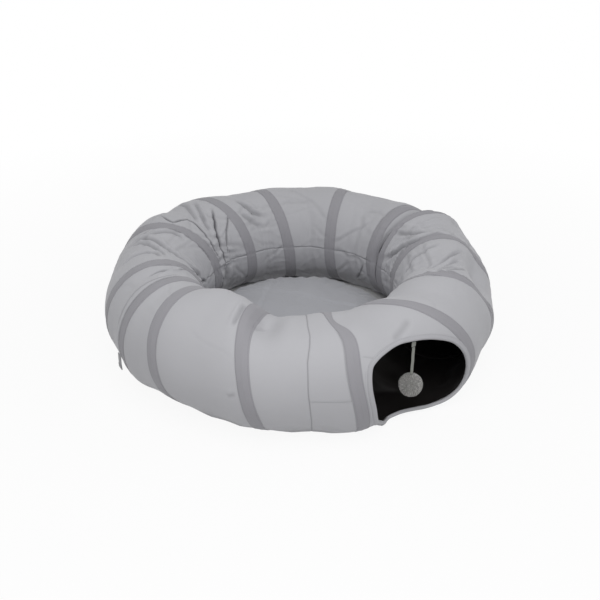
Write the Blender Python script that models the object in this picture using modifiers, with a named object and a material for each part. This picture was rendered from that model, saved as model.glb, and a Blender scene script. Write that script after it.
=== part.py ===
"""Ring-shaped fabric play tunnel: sewn panels over closed wire hoops, a black lining,
two bound entrances, a loose bed cushion in the middle, a hanging yarn ball and a tie strap.

Metres, +Z up. The origin is on the floor at the ring's centre, and the front entrance faces -Y.
Angles round the ring run from -Y towards +X. Angles round the tube start at its outer side
and pass over the top, so 90 is the top, 180 the inner wall and -90 the floor.
"""

from math import asin, ceil, cos, degrees, floor, pi, radians, sin

import bmesh
import bpy
from mathutils import Vector

# Tube
ring_radius = 0.348
tube_half_width = 0.117
tube_half_height = 0.129
tube_facets = 20
hoop_lift = 0.0016
panel_thickness = 0.0020
panel_dip_share = 0.03
panel_floor_sag = 0.018
sag_start_share = 0.8
inner_fold_share = 0.9
entrance_steps = 6
wide_step_angle = radians(11)
sew_gap = 0.0008

# Hoops and the tapes that case them
casing_width = 0.028
casing_thickness = 0.0020
wire_diameter = 0.0030
wire_gap = 0.0005
fit_gap = 0.0003

# Lining
lining_thickness = 0.0012
lining_gap = 0.0016
lining_slack = 0.0040
lining_trim = 0.0006
hoops_per_lining = 2

# Entrances
entrance_height_share = 0.7016
entrance_drop = 0.0011
front_entrance_share = 1.0
back_entrance_share = 0.86
hem_width = 0.009
hem_thickness = 0.0010
hem_gap = 0.0011
hem_inner_gap = 0.0022
hem_stations = 44
cutter_reach = 0.030

# Bed cushion
cushion_gap = 0.005
cushion_height = 0.074
cushion_shoulder = 0.062
cushion_seam_height = 0.034
cushion_base_inset = 0.040
cushion_edge_round = 0.026
cushion_side_straight = 0.004
cover_thickness = 0.0014
cushion_segments = 32

# Hanging toy
toy_angle = radians(-1.4)
tab_width = 0.0100
tab_height = 0.0120
tab_thickness = 0.0014
elastic_width = 0.0070
elastic_thickness = 0.0012
ball_radius = 0.026
ball_drop = 0.029

# Tie strap
strap_panel = 10
strap_angle = radians(265.3)
strap_width = 0.020
strap_length = 0.036
strap_thickness = 0.0016
strap_facet = 4

# Each hoop: its place round the ring, how far its outer side leads its inner side,
# and how far its top leads its foot, all in degrees.
hoop_places = (
    (-20.3, 0.3, -3.8),
    (7.2, 11.0, -5.0),
    (31.5, 5.5, -3.0),
    (62.3, -3.8, -1.9),
    (84.1, -1.4, -1.5),
    (93.0, -0.8, 0.5),
    (125.5, 0.0, 1.0),
    (158.0, 5.0, 5.0),
    (183.6, 4.3, 4.7),
    (214.0, 4.0, 7.0),
    (252.5, 2.5, 2.0),
    (268.6, 0.9, 1.7),
    (284.7, 0.7, -3.7),
    (311.7, 0.8, -3.0),
)

# Which panels hold an entrance, by their first hoop: share of the full width, mirrored or not.
entrances = {
    0: ("front", front_entrance_share, False),
    7: ("back", back_entrance_share, True),
}

# The entrance's outline: share of the way across its panel, share of half its height.
entrance_outline_shares = (
    (0.096, 0.20),
    (0.138, 0.62),
    (0.210, 0.80),
    (0.330, 0.93),
    (0.455, 1.00),
    (0.560, 0.99),
    (0.664, 0.94),
    (0.756, 0.84),
    (0.843, 0.66),
    (0.884, 0.42),
    (0.905, 0.10),
    (0.913, -0.28),
    (0.908, -0.60),
    (0.880, -0.86),
    (0.815, -1.05),
    (0.700, -1.16),
    (0.560, -1.20),
    (0.400, -1.21),
    (0.260, -1.19),
    (0.155, -1.08),
    (0.108, -0.80),
    (0.094, -0.40),
)

colours = {
    "panel_cloth": ((0.42, 0.42, 0.45, 1), 0.75, 0.0),
    "casing_tape": ((0.28, 0.28, 0.31, 1), 0.70, 0.0),
    "lining_cloth": ((0.012, 0.011, 0.011, 1), 0.85, 0.0),
    "hem_binding": ((0.38, 0.38, 0.41, 1), 0.75, 0.0),
    "spring_wire": ((0.55, 0.55, 0.56, 1), 0.35, 1.0),
    "cushion_cloth": ((0.42, 0.43, 0.46, 1), 0.80, 0.0),
    "cushion_fill": ((0.80, 0.80, 0.78, 1), 0.90, 0.0),
    "yarn": ((0.33, 0.33, 0.34, 1), 0.95, 0.0),
    "elastic_braid": ((0.22, 0.22, 0.23, 1), 0.70, 0.0),
    "strap_webbing": ((0.16, 0.16, 0.17, 1), 0.70, 0.0),
}

tube_centre = hoop_lift + tube_half_height
entrance_height = 2 * tube_half_height * entrance_height_share
entrance_middle = tube_centre - entrance_drop
ball_height = entrance_middle - ball_drop
cushion_radius = ring_radius - tube_half_width - cushion_gap
cushion_base_radius = cushion_radius - cushion_base_inset
casing_half = casing_width / 2
wire_depth = casing_thickness + wire_gap + wire_diameter / 2
lining_depth_at_hoop = casing_thickness + 2 * wire_gap + wire_diameter
lining_depth_at_panel = panel_thickness + lining_gap
tube_angles = [2 * pi * k / tube_facets - pi / 2 for k in range(tube_facets)]
facet_angle = 2 * pi / tube_facets
facet_depth = tube_half_height * (1 - cos(facet_angle / 2))


def clear_scene():
    for obj in list(bpy.data.objects):
        bpy.data.objects.remove(obj, do_unlink=True)


def collection(name, hidden=False):
    group = bpy.data.collections.new(name)
    group.hide_render = hidden
    bpy.context.scene.collection.children.link(group)
    return group


def material(name):
    found = bpy.data.materials.get(name)
    if found:
        return found
    colour, roughness, metallic = colours[name]
    made = bpy.data.materials.new(name)
    made.use_nodes = True
    shader = made.node_tree.nodes["Principled BSDF"]
    shader.inputs["Base Color"].default_value = colour
    shader.inputs["Roughness"].default_value = roughness
    shader.inputs["Metallic"].default_value = metallic
    made.diffuse_color = colour
    return made


def add_object(name, data, group, finish):
    obj = bpy.data.objects.new(name, data)
    if finish:
        data.materials.append(material(finish))
    group.objects.link(obj)
    return obj


def hoop_angle(index, tube_angle):
    """Angle round the ring of a hoop, at an angle round the tube. Hoops past the last go round again."""
    place, lead, lean = hoop_places[index % len(hoop_places)]
    turn = 2 * pi * (index // len(hoop_places))
    return turn + radians(place + lead * cos(tube_angle) + lean * sin(tube_angle))


def at(ring_angle, radius, height):
    return Vector((radius * sin(ring_angle), -radius * cos(ring_angle), height))


def skin_point(ring_angle, tube_angle, offset, dip=0.0, sag=0.0):
    """A point of the tube's skin, moved outwards by offset. It never passes through the floor."""
    across = tube_half_width + offset - dip
    upright = tube_half_height + offset - dip
    height = tube_centre + upright * sin(tube_angle) - sag
    lowest = max(0.0, -offset)
    return at(ring_angle, ring_radius + across * cos(tube_angle), max(height, lowest))


def panel_pitch(index, tube_angle=0.0):
    return hoop_angle(index + 1, tube_angle) - hoop_angle(index, tube_angle)


def panel_shape(index, share, tube_angle):
    """How deep the cloth dips between two hoops, and how far it sags to the floor."""
    radius = ring_radius + tube_half_width * cos(tube_angle)
    cloth = panel_pitch(index, tube_angle) * radius - casing_width
    inner = inner_fold_share * (1 - cos(tube_angle)) / 2
    dip = panel_dip_share * cloth * (1 + inner) * sin(pi * share) ** 2
    low = max(0.0, (-sin(tube_angle) - sag_start_share) / (1 - sag_start_share))
    sag = panel_floor_sag * low * min(1.0, 1.35 * sin(pi * share))
    return dip, sag


def panel_edge(index, tube_angle, end):
    """Angle round the ring of a panel's edge, where it is sewn to the tape of a hoop."""
    radius = ring_radius + tube_half_width * cos(tube_angle)
    inset = (casing_half + sew_gap) / radius
    if end == 0:
        return hoop_angle(index, tube_angle) + inset
    return hoop_angle(index + 1, tube_angle) - inset


def panel_angle(index, share, tube_angle):
    first = panel_edge(index, tube_angle, 0)
    last = panel_edge(index, tube_angle, 1)
    return first + (last - first) * share


def panel_steps(index):
    if index in entrances:
        return entrance_steps
    widest = max(panel_pitch(index), panel_pitch(index, pi))
    return min(4, ceil(widest / wide_step_angle))


def grid_mesh(name, rows, closed_rows=True):
    """A mesh through rows of points; each row closes on itself, and the rows form a strip."""
    shape = bmesh.new()
    made = [[shape.verts.new(point) for point in row] for row in rows]
    count = len(rows[0])
    for low, high in zip(made, made[1:]):
        for k in range(count if closed_rows else count - 1):
            after = (k + 1) % count
            shape.faces.new((low[k], high[k], high[after], low[after]))
    data = bpy.data.meshes.new(name)
    shape.to_mesh(data)
    shape.free()
    data.shade_smooth()
    return data


def solidify(obj, thickness, offset=-1.0):
    wall = obj.modifiers.new("wall", "SOLIDIFY")
    wall.thickness = thickness
    wall.offset = offset
    return wall


def cut(obj, cutter):
    hole = obj.modifiers.new("opening", "BOOLEAN")
    hole.operation = "DIFFERENCE"
    hole.solver = "EXACT"
    hole.object = cutter


def panel_row(index, share, offset=0.0):
    row = []
    for tube_angle in tube_angles:
        dip, sag = panel_shape(index, share, tube_angle)
        angle = panel_angle(index, share, tube_angle)
        row.append(skin_point(angle, tube_angle, offset, dip, sag))
    return row


def make_panel(index, group):
    steps = panel_steps(index)
    rows = [panel_row(index, k / steps) for k in range(steps + 1)]
    name = f"panel_{index + 1:02d}"
    obj = add_object(name, grid_mesh(name, rows), group, "panel_cloth")
    solidify(obj, panel_thickness)
    return obj


def make_casing(index, group):
    rows = []
    for side in (-1, 1):
        row = []
        for tube_angle in tube_angles:
            radius = ring_radius + tube_half_width * cos(tube_angle)
            angle = hoop_angle(index, tube_angle) + side * casing_half / radius
            row.append(skin_point(angle, tube_angle, 0))
        rows.append(row)
    name = f"hoop_casing_{index + 1:02d}"
    obj = add_object(name, grid_mesh(name, rows), group, "casing_tape")
    solidify(obj, casing_thickness)
    return obj


def poly_curve(name, points, diameter, sides, closed, group, finish):
    curve = bpy.data.curves.new(name, "CURVE")
    curve.dimensions = "3D"
    curve.bevel_depth = diameter / 2
    curve.bevel_resolution = sides
    curve.use_fill_caps = not closed
    line = curve.splines.new("POLY")
    line.points.add(len(points) - 1)
    for spot, point in zip(line.points, points):
        spot.co = (*point, 1)
    line.use_cyclic_u = closed
    line.use_smooth = True
    return add_object(name, curve, group, finish)


def make_wire_hoop(index, group):
    points = [skin_point(hoop_angle(index, a), a, -wire_depth) for a in tube_angles]
    return poly_curve(f"wire_hoop_{index + 1:02d}", points, wire_diameter, 1, True, group, "spring_wire")


def lining_row(index, share, depth, from_hoops=True):
    """A row of the lining. Its share is counted between the two hoops, or between the tapes' edges."""
    row = []
    for tube_angle in tube_angles:
        dip, sag = panel_shape(index, share, tube_angle)
        angle = panel_angle(index, share, tube_angle)
        if from_hoops:
            first = hoop_angle(index, tube_angle)
            angle = first + (hoop_angle(index + 1, tube_angle) - first) * share
        row.append(skin_point(angle, tube_angle, -depth, dip, sag))
    return row


def lining_depth(share):
    """Depth of the lining behind an entrance panel, where it rises from the hoops to lie on the cloth."""
    near_hoop = max(0.0, 1 - entrance_steps * min(share, 1 - share))
    return lining_depth_at_panel + (lining_depth_at_hoop - lining_depth_at_panel) * near_hoop


def lining_rows(first):
    """Rows from one hoop to the hoop at the far end of this length of lining."""
    rows = []
    last = first + hoops_per_lining
    for index in range(first, last):
        rows.append(lining_row(index, 0.0, lining_depth_at_hoop))
        if index in entrances:
            for k in range(entrance_steps + 1):
                share = k / entrance_steps
                rows.append(lining_row(index, share, lining_depth(share), from_hoops=False))
        elif panel_steps(index) > 1:
            rows.append(lining_row(index, 0.5, lining_depth_at_hoop + lining_slack))
    rows.append(lining_row(last - 1, 1.0, lining_depth_at_hoop))
    rows[0] = [here + (there - here).normalized() * lining_trim for here, there in zip(rows[0], rows[1])]
    rows[-1] = [here + (there - here).normalized() * lining_trim for here, there in zip(rows[-1], rows[-2])]
    return rows


def make_lining(first, group):
    name = f"lining_{first // hoops_per_lining + 1}"
    obj = add_object(name, grid_mesh(name, lining_rows(first)), group, "lining_cloth")
    solidify(obj, lining_thickness)
    return obj


def smooth_loop(points, count):
    """Points at even steps along a closed smooth curve through the given points."""
    spots = [Vector(point) for point in points]
    total = len(spots)
    fine = []
    for k in range(total):
        a, b, c, d = (spots[(k + step) % total] for step in (-1, 0, 1, 2))
        for part in range(12):
            t = part / 12
            middle = (c - a) * t + (2 * a - 5 * b + 4 * c - d) * t**2 + (3 * b - a - 3 * c + d) * t**3
            fine.append(b + middle / 2)
    lengths = [0.0]
    for k, spot in enumerate(fine):
        lengths.append(lengths[-1] + (fine[(k + 1) % len(fine)] - spot).length)
    even = []
    for k in range(count):
        wanted = lengths[-1] * k / count
        place = max(j for j in range(len(fine)) if lengths[j] <= wanted)
        part = (wanted - lengths[place]) / (lengths[place + 1] - lengths[place])
        even.append(fine[place].lerp(fine[(place + 1) % len(fine)], part))
    return even


def entrance_outline(index):
    """The opening's edge as (angle round the ring, angle round the tube), anticlockwise from outside."""
    _, width_share, mirrored = entrances[index]
    width = panel_pitch(index) * (ring_radius + tube_half_width)
    flat = []
    for across, up in entrance_outline_shares:
        across = 0.5 + (across - 0.5) * width_share
        across = 1 - across if mirrored else across
        flat.append((across * width, up * entrance_height / 2))
    outline = []
    for across, up in smooth_loop(flat, hem_stations):
        tube_angle = asin((entrance_middle + up - tube_centre) / tube_half_height)
        first = hoop_angle(index, tube_angle)
        share = across / width
        outline.append((first + (hoop_angle(index + 1, tube_angle) - first) * share, tube_angle))
    return outline if mirrored else outline[::-1]


def make_cutter(index, group):
    """A closed plug through the wall, along the skin's normals round the opening's outline."""
    outline = entrance_outline(index)
    count = len(outline)
    middle_ring_angle = sum(a for a, _ in outline) / count
    middle_tube_angle = sum(b for _, b in outline) / count
    name = f"opening_{entrances[index][0]}"
    shape = bmesh.new()
    ends = []
    for reach in (-cutter_reach, cutter_reach):
        ring = []
        for a, b in outline:
            outer = wall_point(index, a, b, 0)
            outwards = (outer - wall_point(index, a, b, -panel_thickness)).normalized()
            ring.append(shape.verts.new(outer + outwards * reach))
        middle = shape.verts.new(wall_point(index, middle_ring_angle, middle_tube_angle, reach))
        ends.append((ring, middle))
    for k in range(count):
        after = (k + 1) % count
        for ring, middle in ends:
            shape.faces.new((ring[k], ring[after], middle))
        shape.faces.new((ends[0][0][k], ends[0][0][after], ends[1][0][after], ends[1][0][k]))
    bmesh.ops.recalc_face_normals(shape, faces=shape.faces)
    data = bpy.data.meshes.new(name)
    shape.to_mesh(data)
    shape.free()
    obj = add_object(name, data, group, None)
    obj.hide_render = True
    obj.display_type = "WIRE"
    return obj


def resting_sag(index, share, tube_angle):
    """How far the cloth sags before it meets the floor."""
    room = tube_centre + tube_half_height * sin(tube_angle)
    return min(panel_shape(index, share, tube_angle)[1], room)


def wall_point(index, ring_angle, tube_angle, offset):
    """A point over the cloth of a panel, whose dip and sag run straight from facet to facet."""
    first = panel_edge(index, tube_angle, 0)
    share = (ring_angle - first) / (panel_edge(index, tube_angle, 1) - first)
    steps = panel_steps(index)
    row = min(steps - 1, max(0, floor(share * steps)))
    part = share * steps - row
    dip = panel_shape(index, row / steps, tube_angle)[0]
    dip += (panel_shape(index, (row + 1) / steps, tube_angle)[0] - dip) * part
    facet = floor(tube_angle / facet_angle)
    along = tube_angle / facet_angle - facet
    sag = 0.0
    for corner, corner_weight in ((facet, 1 - along), (facet + 1, along)):
        for side, side_weight in ((row, 1 - part), (row + 1, part)):
            weight = corner_weight * side_weight
            sag += weight * resting_sag(index, side / steps, corner * facet_angle)
    return skin_point(ring_angle, tube_angle, offset, dip, sag)


def cloth_point(index, ring_angle, tube_angle):
    """A point on one of the edges that run round the ring in the panel's own mesh."""
    first = panel_edge(index, tube_angle, 0)
    steps = panel_steps(index)
    place = (ring_angle - first) / (panel_edge(index, tube_angle, 1) - first) * steps
    ends = []
    for row in (floor(place), floor(place) + 1):
        dip, sag = panel_shape(index, row / steps, tube_angle)
        ends.append(skin_point(panel_angle(index, row / steps, tube_angle), tube_angle, 0, dip, sag))
    return ends[0].lerp(ends[1], place - floor(place))


def hem_section(index, station):
    """The binding's section at a station of the outline: one leg on the panel, one behind the lining."""
    outline = entrance_outline(index)
    ring_angle, tube_angle = outline[station]
    before = skin_point(*outline[station - 1], 0)
    after = skin_point(*outline[(station + 1) % len(outline)], 0)
    here = skin_point(ring_angle, tube_angle, 0)
    round_ring = at(ring_angle + pi / 2, 1, 0)
    round_tube = (skin_point(ring_angle, tube_angle + sew_gap, 0) - here) / sew_gap
    along = (after - before).normalized()
    away = along.cross(round_ring.cross(round_tube)).normalized()
    outer = hem_gap + hem_thickness
    first = panel_edge(index, tube_angle, 0)
    share = (ring_angle - first) / (panel_edge(index, tube_angle, 1) - first)
    inner = lining_depth(share) + lining_thickness + facet_depth + hem_inner_gap
    inside = hem_gap + hem_thickness
    section = []
    for reach, offset in (
        (hem_width, outer),
        (-inside, outer),
        (-inside, -inner - hem_thickness),
        (hem_width, -inner - hem_thickness),
        (hem_width, -inner),
        (-hem_gap, -inner),
        (-hem_gap, hem_gap),
        (hem_width, hem_gap),
    ):
        step = away * reach
        ring_step = step.dot(round_ring) / here.xy.length
        tube_step = step.dot(round_tube) / round_tube.length_squared
        section.append(wall_point(index, ring_angle + ring_step, tube_angle + tube_step, offset))
    return section


def make_hem(index, group):
    rows = [hem_section(index, station) for station in range(hem_stations)]
    name = f"entrance_hem_{entrances[index][0]}"
    shape = bmesh.new()
    rings = [[shape.verts.new(point) for point in row] for row in rows]
    for ring, after in zip(rings, rings[1:] + rings[:1]):
        for k in range(len(ring)):
            side = (k + 1) % len(ring)
            shape.faces.new((ring[k], after[k], after[side], ring[side]))
    bmesh.ops.recalc_face_normals(shape, faces=shape.faces)
    data = bpy.data.meshes.new(name)
    shape.to_mesh(data)
    shape.free()
    data.shade_smooth()
    data.set_sharp_from_angle(angle=radians(50))
    return add_object(name, data, group, "hem_binding")


def turned(name, profile, group, finish, thickness=None):
    """A turned shape. Its profile runs down the outer side, from the axis at the top."""
    shape = bmesh.new()
    spots = [shape.verts.new((x, 0, z)) for x, z in profile]
    for one, two in zip(spots, spots[1:]):
        shape.edges.new((one, two))
    data = bpy.data.meshes.new(name)
    shape.to_mesh(data)
    shape.free()
    obj = add_object(name, data, group, finish)
    screw = obj.modifiers.new("turn", "SCREW")
    screw.steps = cushion_segments
    screw.render_steps = cushion_segments
    screw.use_merge_vertices = True
    screw.merge_threshold = 0.00005
    screw.use_smooth_shade = True
    if thickness:
        solidify(obj, thickness)
    return obj


def cushion_profile(inset):
    """The cushion's outline from its crown to the middle of its base, drawn in by inset."""
    seam = (cushion_radius - inset, cushion_seam_height)
    flat = cushion_radius - cushion_edge_round
    upper = cushion_shoulder - cushion_seam_height
    top = [(flat * share, cushion_height - inset - (cushion_height - cushion_shoulder) * share**2)
           for share in (0.0, 0.35, 0.7, 1.0)]
    for k in (1, 2):
        turn = k * pi / 6
        round_x = flat + (cushion_edge_round - inset) * sin(turn)
        round_z = cushion_seam_height + (upper - inset) * cos(turn)
        top.append((round_x, round_z))
    base = []
    for k in (1, 2):
        turn = k * pi / 6
        spread = cushion_radius - cushion_base_radius - inset
        round_x = cushion_base_radius + spread * cos(turn)
        round_z = cushion_seam_height - (cushion_seam_height - inset) * sin(turn)
        base.append((round_x, round_z))
    base += [(cushion_base_radius, inset), (cushion_base_radius / 2, inset), (0.0, inset)]
    return top, seam, base


def make_cushion(group):
    top, seam, base = cushion_profile(0)
    side, middle = seam
    upper_edge = [(side, middle + cushion_side_straight), (side, middle + sew_gap / 2)]
    lower_edge = [(side, middle - sew_gap / 2), (side, middle - cushion_side_straight)]
    turned("cushion_top_cover", top + upper_edge, group, "cushion_cloth", cover_thickness)
    turned("cushion_base_cover", lower_edge + base, group, "cushion_cloth", cover_thickness)
    top, seam, base = cushion_profile(cover_thickness + 2 * fit_gap)
    turned("cushion_filling", top + [seam] + base, group, "cushion_fill")


def block(name, size, pivot_drop, bevel, group, finish):
    """A strip of webbing whose origin lies pivot_drop below its top edge, with rounded edges."""
    width, thickness, height = size
    shape = bmesh.new()
    bmesh.ops.create_cube(shape, size=1)
    for vert in shape.verts:
        vert.co.x *= width
        vert.co.y *= thickness
        vert.co.z = (vert.co.z - 0.5) * height + pivot_drop
    data = bpy.data.meshes.new(name)
    shape.to_mesh(data)
    shape.free()
    obj = add_object(name, data, group, finish)
    rounding = obj.modifiers.new("rounding", "BEVEL")
    rounding.width = bevel
    rounding.segments = 2
    return obj


def make_toy(group):
    """The tab hangs from the lowest edge of the front hem, the elastic from the tab, the ball from that."""
    outline = entrance_outline(0)
    upper = [k for k in range(len(outline)) if outline[k][1] > 0]
    station = min(upper, key=lambda k: abs(outline[k][0] - toy_angle))
    ring_angle = outline[station][0]
    seat = hem_section(0, station)[2]
    tab_top = seat.z - fit_gap
    tab_pivot = Vector((seat.x, seat.y, tab_top - tab_thickness / 2))
    tab = block("toy_tab", (tab_width, tab_thickness, tab_height), tab_thickness / 2,
                tab_thickness * 0.45, group, "strap_webbing")
    tab.location = tab_pivot
    tab.rotation_euler.z = ring_angle

    eye = elastic_width / 2
    elastic_pivot = Vector((seat.x, seat.y, tab_top - tab_height - fit_gap - eye))
    ball_top = ball_height + ball_radius
    foot = ball_top + fit_gap - elastic_pivot.z
    outline = [(eye * cos(pi * k / 8), eye * sin(pi * k / 8)) for k in range(9)]
    outline += [(-eye, foot), (eye, foot)]
    curve = bpy.data.curves.new("toy_elastic", "CURVE")
    curve.dimensions = "2D"
    curve.fill_mode = "BOTH"
    curve.extrude = elastic_thickness / 2
    line = curve.splines.new("POLY")
    line.points.add(len(outline) - 1)
    for spot, (x, y) in zip(line.points, outline):
        spot.co = (x, y, 0, 1)
    line.use_cyclic_u = True
    elastic = add_object("toy_elastic", curve, group, "elastic_braid")
    elastic.location = elastic_pivot
    elastic.rotation_euler = (pi / 2, 0, ring_angle)

    ball_shape = bmesh.new()
    bmesh.ops.create_uvsphere(ball_shape, u_segments=16, v_segments=12, radius=ball_radius)
    data = bpy.data.meshes.new("toy_ball")
    ball_shape.to_mesh(data)
    ball_shape.free()
    data.shade_smooth()
    ball = add_object("toy_ball", data, group, "yarn")
    ball.location = (seat.x, seat.y, ball_height)
    print("toy: tab pivot", tuple(tab_pivot), "elastic pivot", tuple(elastic_pivot))
    print("toy: ball", tuple(ball.location))


def make_strap(index, group):
    """The strap hangs from its sewn top edge, just off the wall of its panel."""
    tube_angle = tube_angles[strap_facet]
    half_turn = strap_width / 2 / (ring_radius + tube_half_width)
    outwards = at(strap_angle, 1, 0)
    walls = [cloth_point(index, strap_angle + side * half_turn, tube_angle) for side in (-1, 0, 1)]
    radius = max(wall.dot(outwards) for wall in walls) + fit_gap + strap_thickness / 2
    strap = block("tie_strap", (strap_width, strap_thickness, strap_length), strap_thickness / 2,
                  strap_thickness * 0.45, group, "strap_webbing")
    strap.location = at(strap_angle, radius, walls[1].z)
    strap.rotation_euler.z = strap_angle
    print("strap: pivot", tuple(strap.location))


def main():
    clear_scene()
    parts = collection("donut_cat_tunnel")
    cutters = collection("cutters", hidden=True)
    count = len(hoop_places)
    panels = [make_panel(index, parts) for index in range(count)]
    for index in range(count):
        make_casing(index, parts)
        make_wire_hoop(index, parts)
    linings = [make_lining(first, parts) for first in range(0, count, hoops_per_lining)]
    for index in entrances:
        make_hem(index, parts)
        cutter = make_cutter(index, cutters)
        cut(panels[index], cutter)
        cut(linings[index // hoops_per_lining], cutter)
    make_cushion(parts)
    make_toy(parts)
    make_strap(strap_panel, parts)
    outline = entrance_outline(0)
    low = min(outline, key=lambda spot: spot[0])
    high = max(outline, key=lambda spot: spot[0])
    print("front opening spans", round(degrees(low[0]), 1), "to", round(degrees(high[0]), 1), "degrees")


main()
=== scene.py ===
from math import atan2, cos, pi, radians, sin, sqrt

import bmesh
import bpy
import numpy as np
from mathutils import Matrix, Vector


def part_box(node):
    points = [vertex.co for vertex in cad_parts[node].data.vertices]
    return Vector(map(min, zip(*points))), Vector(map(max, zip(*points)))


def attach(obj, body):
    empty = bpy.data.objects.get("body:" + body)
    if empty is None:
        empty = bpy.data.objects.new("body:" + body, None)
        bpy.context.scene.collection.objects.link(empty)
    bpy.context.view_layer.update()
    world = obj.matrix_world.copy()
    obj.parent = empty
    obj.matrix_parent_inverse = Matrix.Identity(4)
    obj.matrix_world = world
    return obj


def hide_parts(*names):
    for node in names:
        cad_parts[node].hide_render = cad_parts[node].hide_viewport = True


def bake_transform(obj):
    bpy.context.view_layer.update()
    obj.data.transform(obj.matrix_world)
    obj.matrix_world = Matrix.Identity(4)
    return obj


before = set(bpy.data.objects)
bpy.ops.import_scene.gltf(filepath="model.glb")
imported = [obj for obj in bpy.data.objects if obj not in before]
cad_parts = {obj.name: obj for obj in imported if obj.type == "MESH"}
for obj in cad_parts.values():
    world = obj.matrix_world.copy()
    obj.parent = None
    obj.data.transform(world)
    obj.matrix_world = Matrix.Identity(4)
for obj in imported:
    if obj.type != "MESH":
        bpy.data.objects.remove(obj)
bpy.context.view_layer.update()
print("frame loaded:", len(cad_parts), "nodes")

# camera: azimuth 0 looks along +Y, from the front
camera = {
    "azimuth": radians(-34.5), "elevation": radians(29.0), "distance": 2.0,
    "target": (0.0, 0.0, 0.11), "lens": 49.08, "sensor": 36.0, "shiftY": -0.005,
}


def makeCamera():
    data = bpy.data.cameras.new("studioCamera")
    data.lens, data.sensor_width, data.shift_y = camera["lens"], camera["sensor"], camera["shiftY"]
    data.clip_end = 60
    obj = bpy.data.objects.new("studioCamera", data)
    bpy.context.scene.collection.objects.link(obj)
    flat = camera["distance"] * cos(camera["elevation"])
    away = Vector((flat * sin(camera["azimuth"]), -flat * cos(camera["azimuth"]),
                   camera["distance"] * sin(camera["elevation"])))
    obj.location = Vector(camera["target"]) + away
    obj.rotation_euler = (-away).to_track_quat("-Z", "Y").to_euler()
    bpy.context.scene.camera = obj


makeCamera()


# shader helpers
class Sock:
    # wraps a socket, so that sums of sockets and numbers become Math nodes
    def __init__(self, tree, out):
        self.tree, self.out = tree, out

    def maths(self, operation, *values):
        node = self.tree.nodes.new("ShaderNodeMath")
        node.operation = operation
        for place, value in enumerate(values):
            plug(self.tree, node.inputs[place], value)
        return Sock(self.tree, node.outputs[0])

    def __add__(self, other):
        return self.maths("ADD", self, other)

    def __sub__(self, other):
        return self.maths("SUBTRACT", self, other)

    def __rsub__(self, other):
        return self.maths("SUBTRACT", other, self)

    def __mul__(self, other):
        return self.maths("MULTIPLY", self, other)

    def __truediv__(self, other):
        return self.maths("DIVIDE", self, other)

    def __rtruediv__(self, other):
        return self.maths("DIVIDE", other, self)

    def __pow__(self, other):
        return self.maths("POWER", self, other)

    def __rpow__(self, other):
        return self.maths("POWER", other, self)

    __radd__, __rmul__ = __add__, __mul__

    def sine(self):
        return self.maths("SINE", self)

    def clamped(self):
        return self.maths("MAXIMUM", self.maths("MINIMUM", self, 1.0), 0.0)


def plug(tree, socket, value):
    if isinstance(value, Sock):
        tree.links.new(value.out, socket)
    elif value is not None:
        socket.default_value = value


def tone(red, green, blue):
    # a colour as seen on screen, 0 to 255, for a socket
    parts = [part / 255 for part in (red, green, blue)]
    return tuple(part / 12.92 if part < 0.04045 else ((part + 0.055) / 1.055) ** 2.4 for part in parts) + (1.0,)


class Nodes:
    # one node tree, with a method that makes any node; output may be several, as a tuple
    def __init__(self, tree):
        self.tree = tree

    def node(self, kind, settings=None, output=0, **values):
        made = self.tree.nodes.new(kind)
        for setting, value in (settings or {}).items():
            if setting == "stops":
                ramp = made.color_ramp
                while len(ramp.elements) < len(value):
                    ramp.elements.new(0.5)
                for element, (place, colour) in zip(ramp.elements, value):
                    element.position, element.color = place, colour
            else:
                setattr(made, setting, value)
        for socket, value in values.items():
            key = int(socket[1:]) if socket[0] == "i" and socket[1:].isdigit() else socket.replace("_", " ")
            plug(self.tree, made.inputs[key], value)
        if isinstance(output, tuple):
            return [Sock(self.tree, made.outputs[name]) for name in output]
        return Sock(self.tree, made.outputs[output])


class Finish(Nodes):
    # one material, and the nodes that the finishes share
    def __init__(self, name, **constants):
        self.material = bpy.data.materials.new(name)
        self.material.use_nodes = True
        super().__init__(self.material.node_tree)
        self.shader = self.tree.nodes["Principled BSDF"]
        for socket, value in constants.items():
            self.shader.inputs[socket.replace("_", " ")].default_value = value

    def uv(self):
        return self.node("ShaderNodeUVMap", {"uv_map": "cloth"})

    def place(self):
        return self.node("ShaderNodeTexCoord", output="Object")

    def split(self, vector):
        return self.node("ShaderNodeSeparateXYZ", output=(0, 1, 2), i0=vector)

    def noise(self, vector, scale, detail=3.0, roughness=0.55):
        return self.node("ShaderNodeTexNoise", Vector=vector, Scale=scale, Detail=detail, Roughness=roughness)

    def mixed(self, share, one, two):
        return self.node("ShaderNodeMix", {"data_type": "RGBA"}, output=2, i0=share, i6=one, i7=two)

    def scaled(self, vector, factors):
        return self.node("ShaderNodeVectorMath", {"operation": "MULTIPLY"}, i0=vector, i1=factors)

    def feed(self, **values):
        for socket, value in values.items():
            plug(self.tree, self.shader.inputs[socket.replace("_", " ")], value)

    def bump(self, height, distance, strength=1.0):
        self.feed(Normal=self.node("ShaderNodeBump", Height=height, Distance=distance, Strength=strength))


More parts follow.
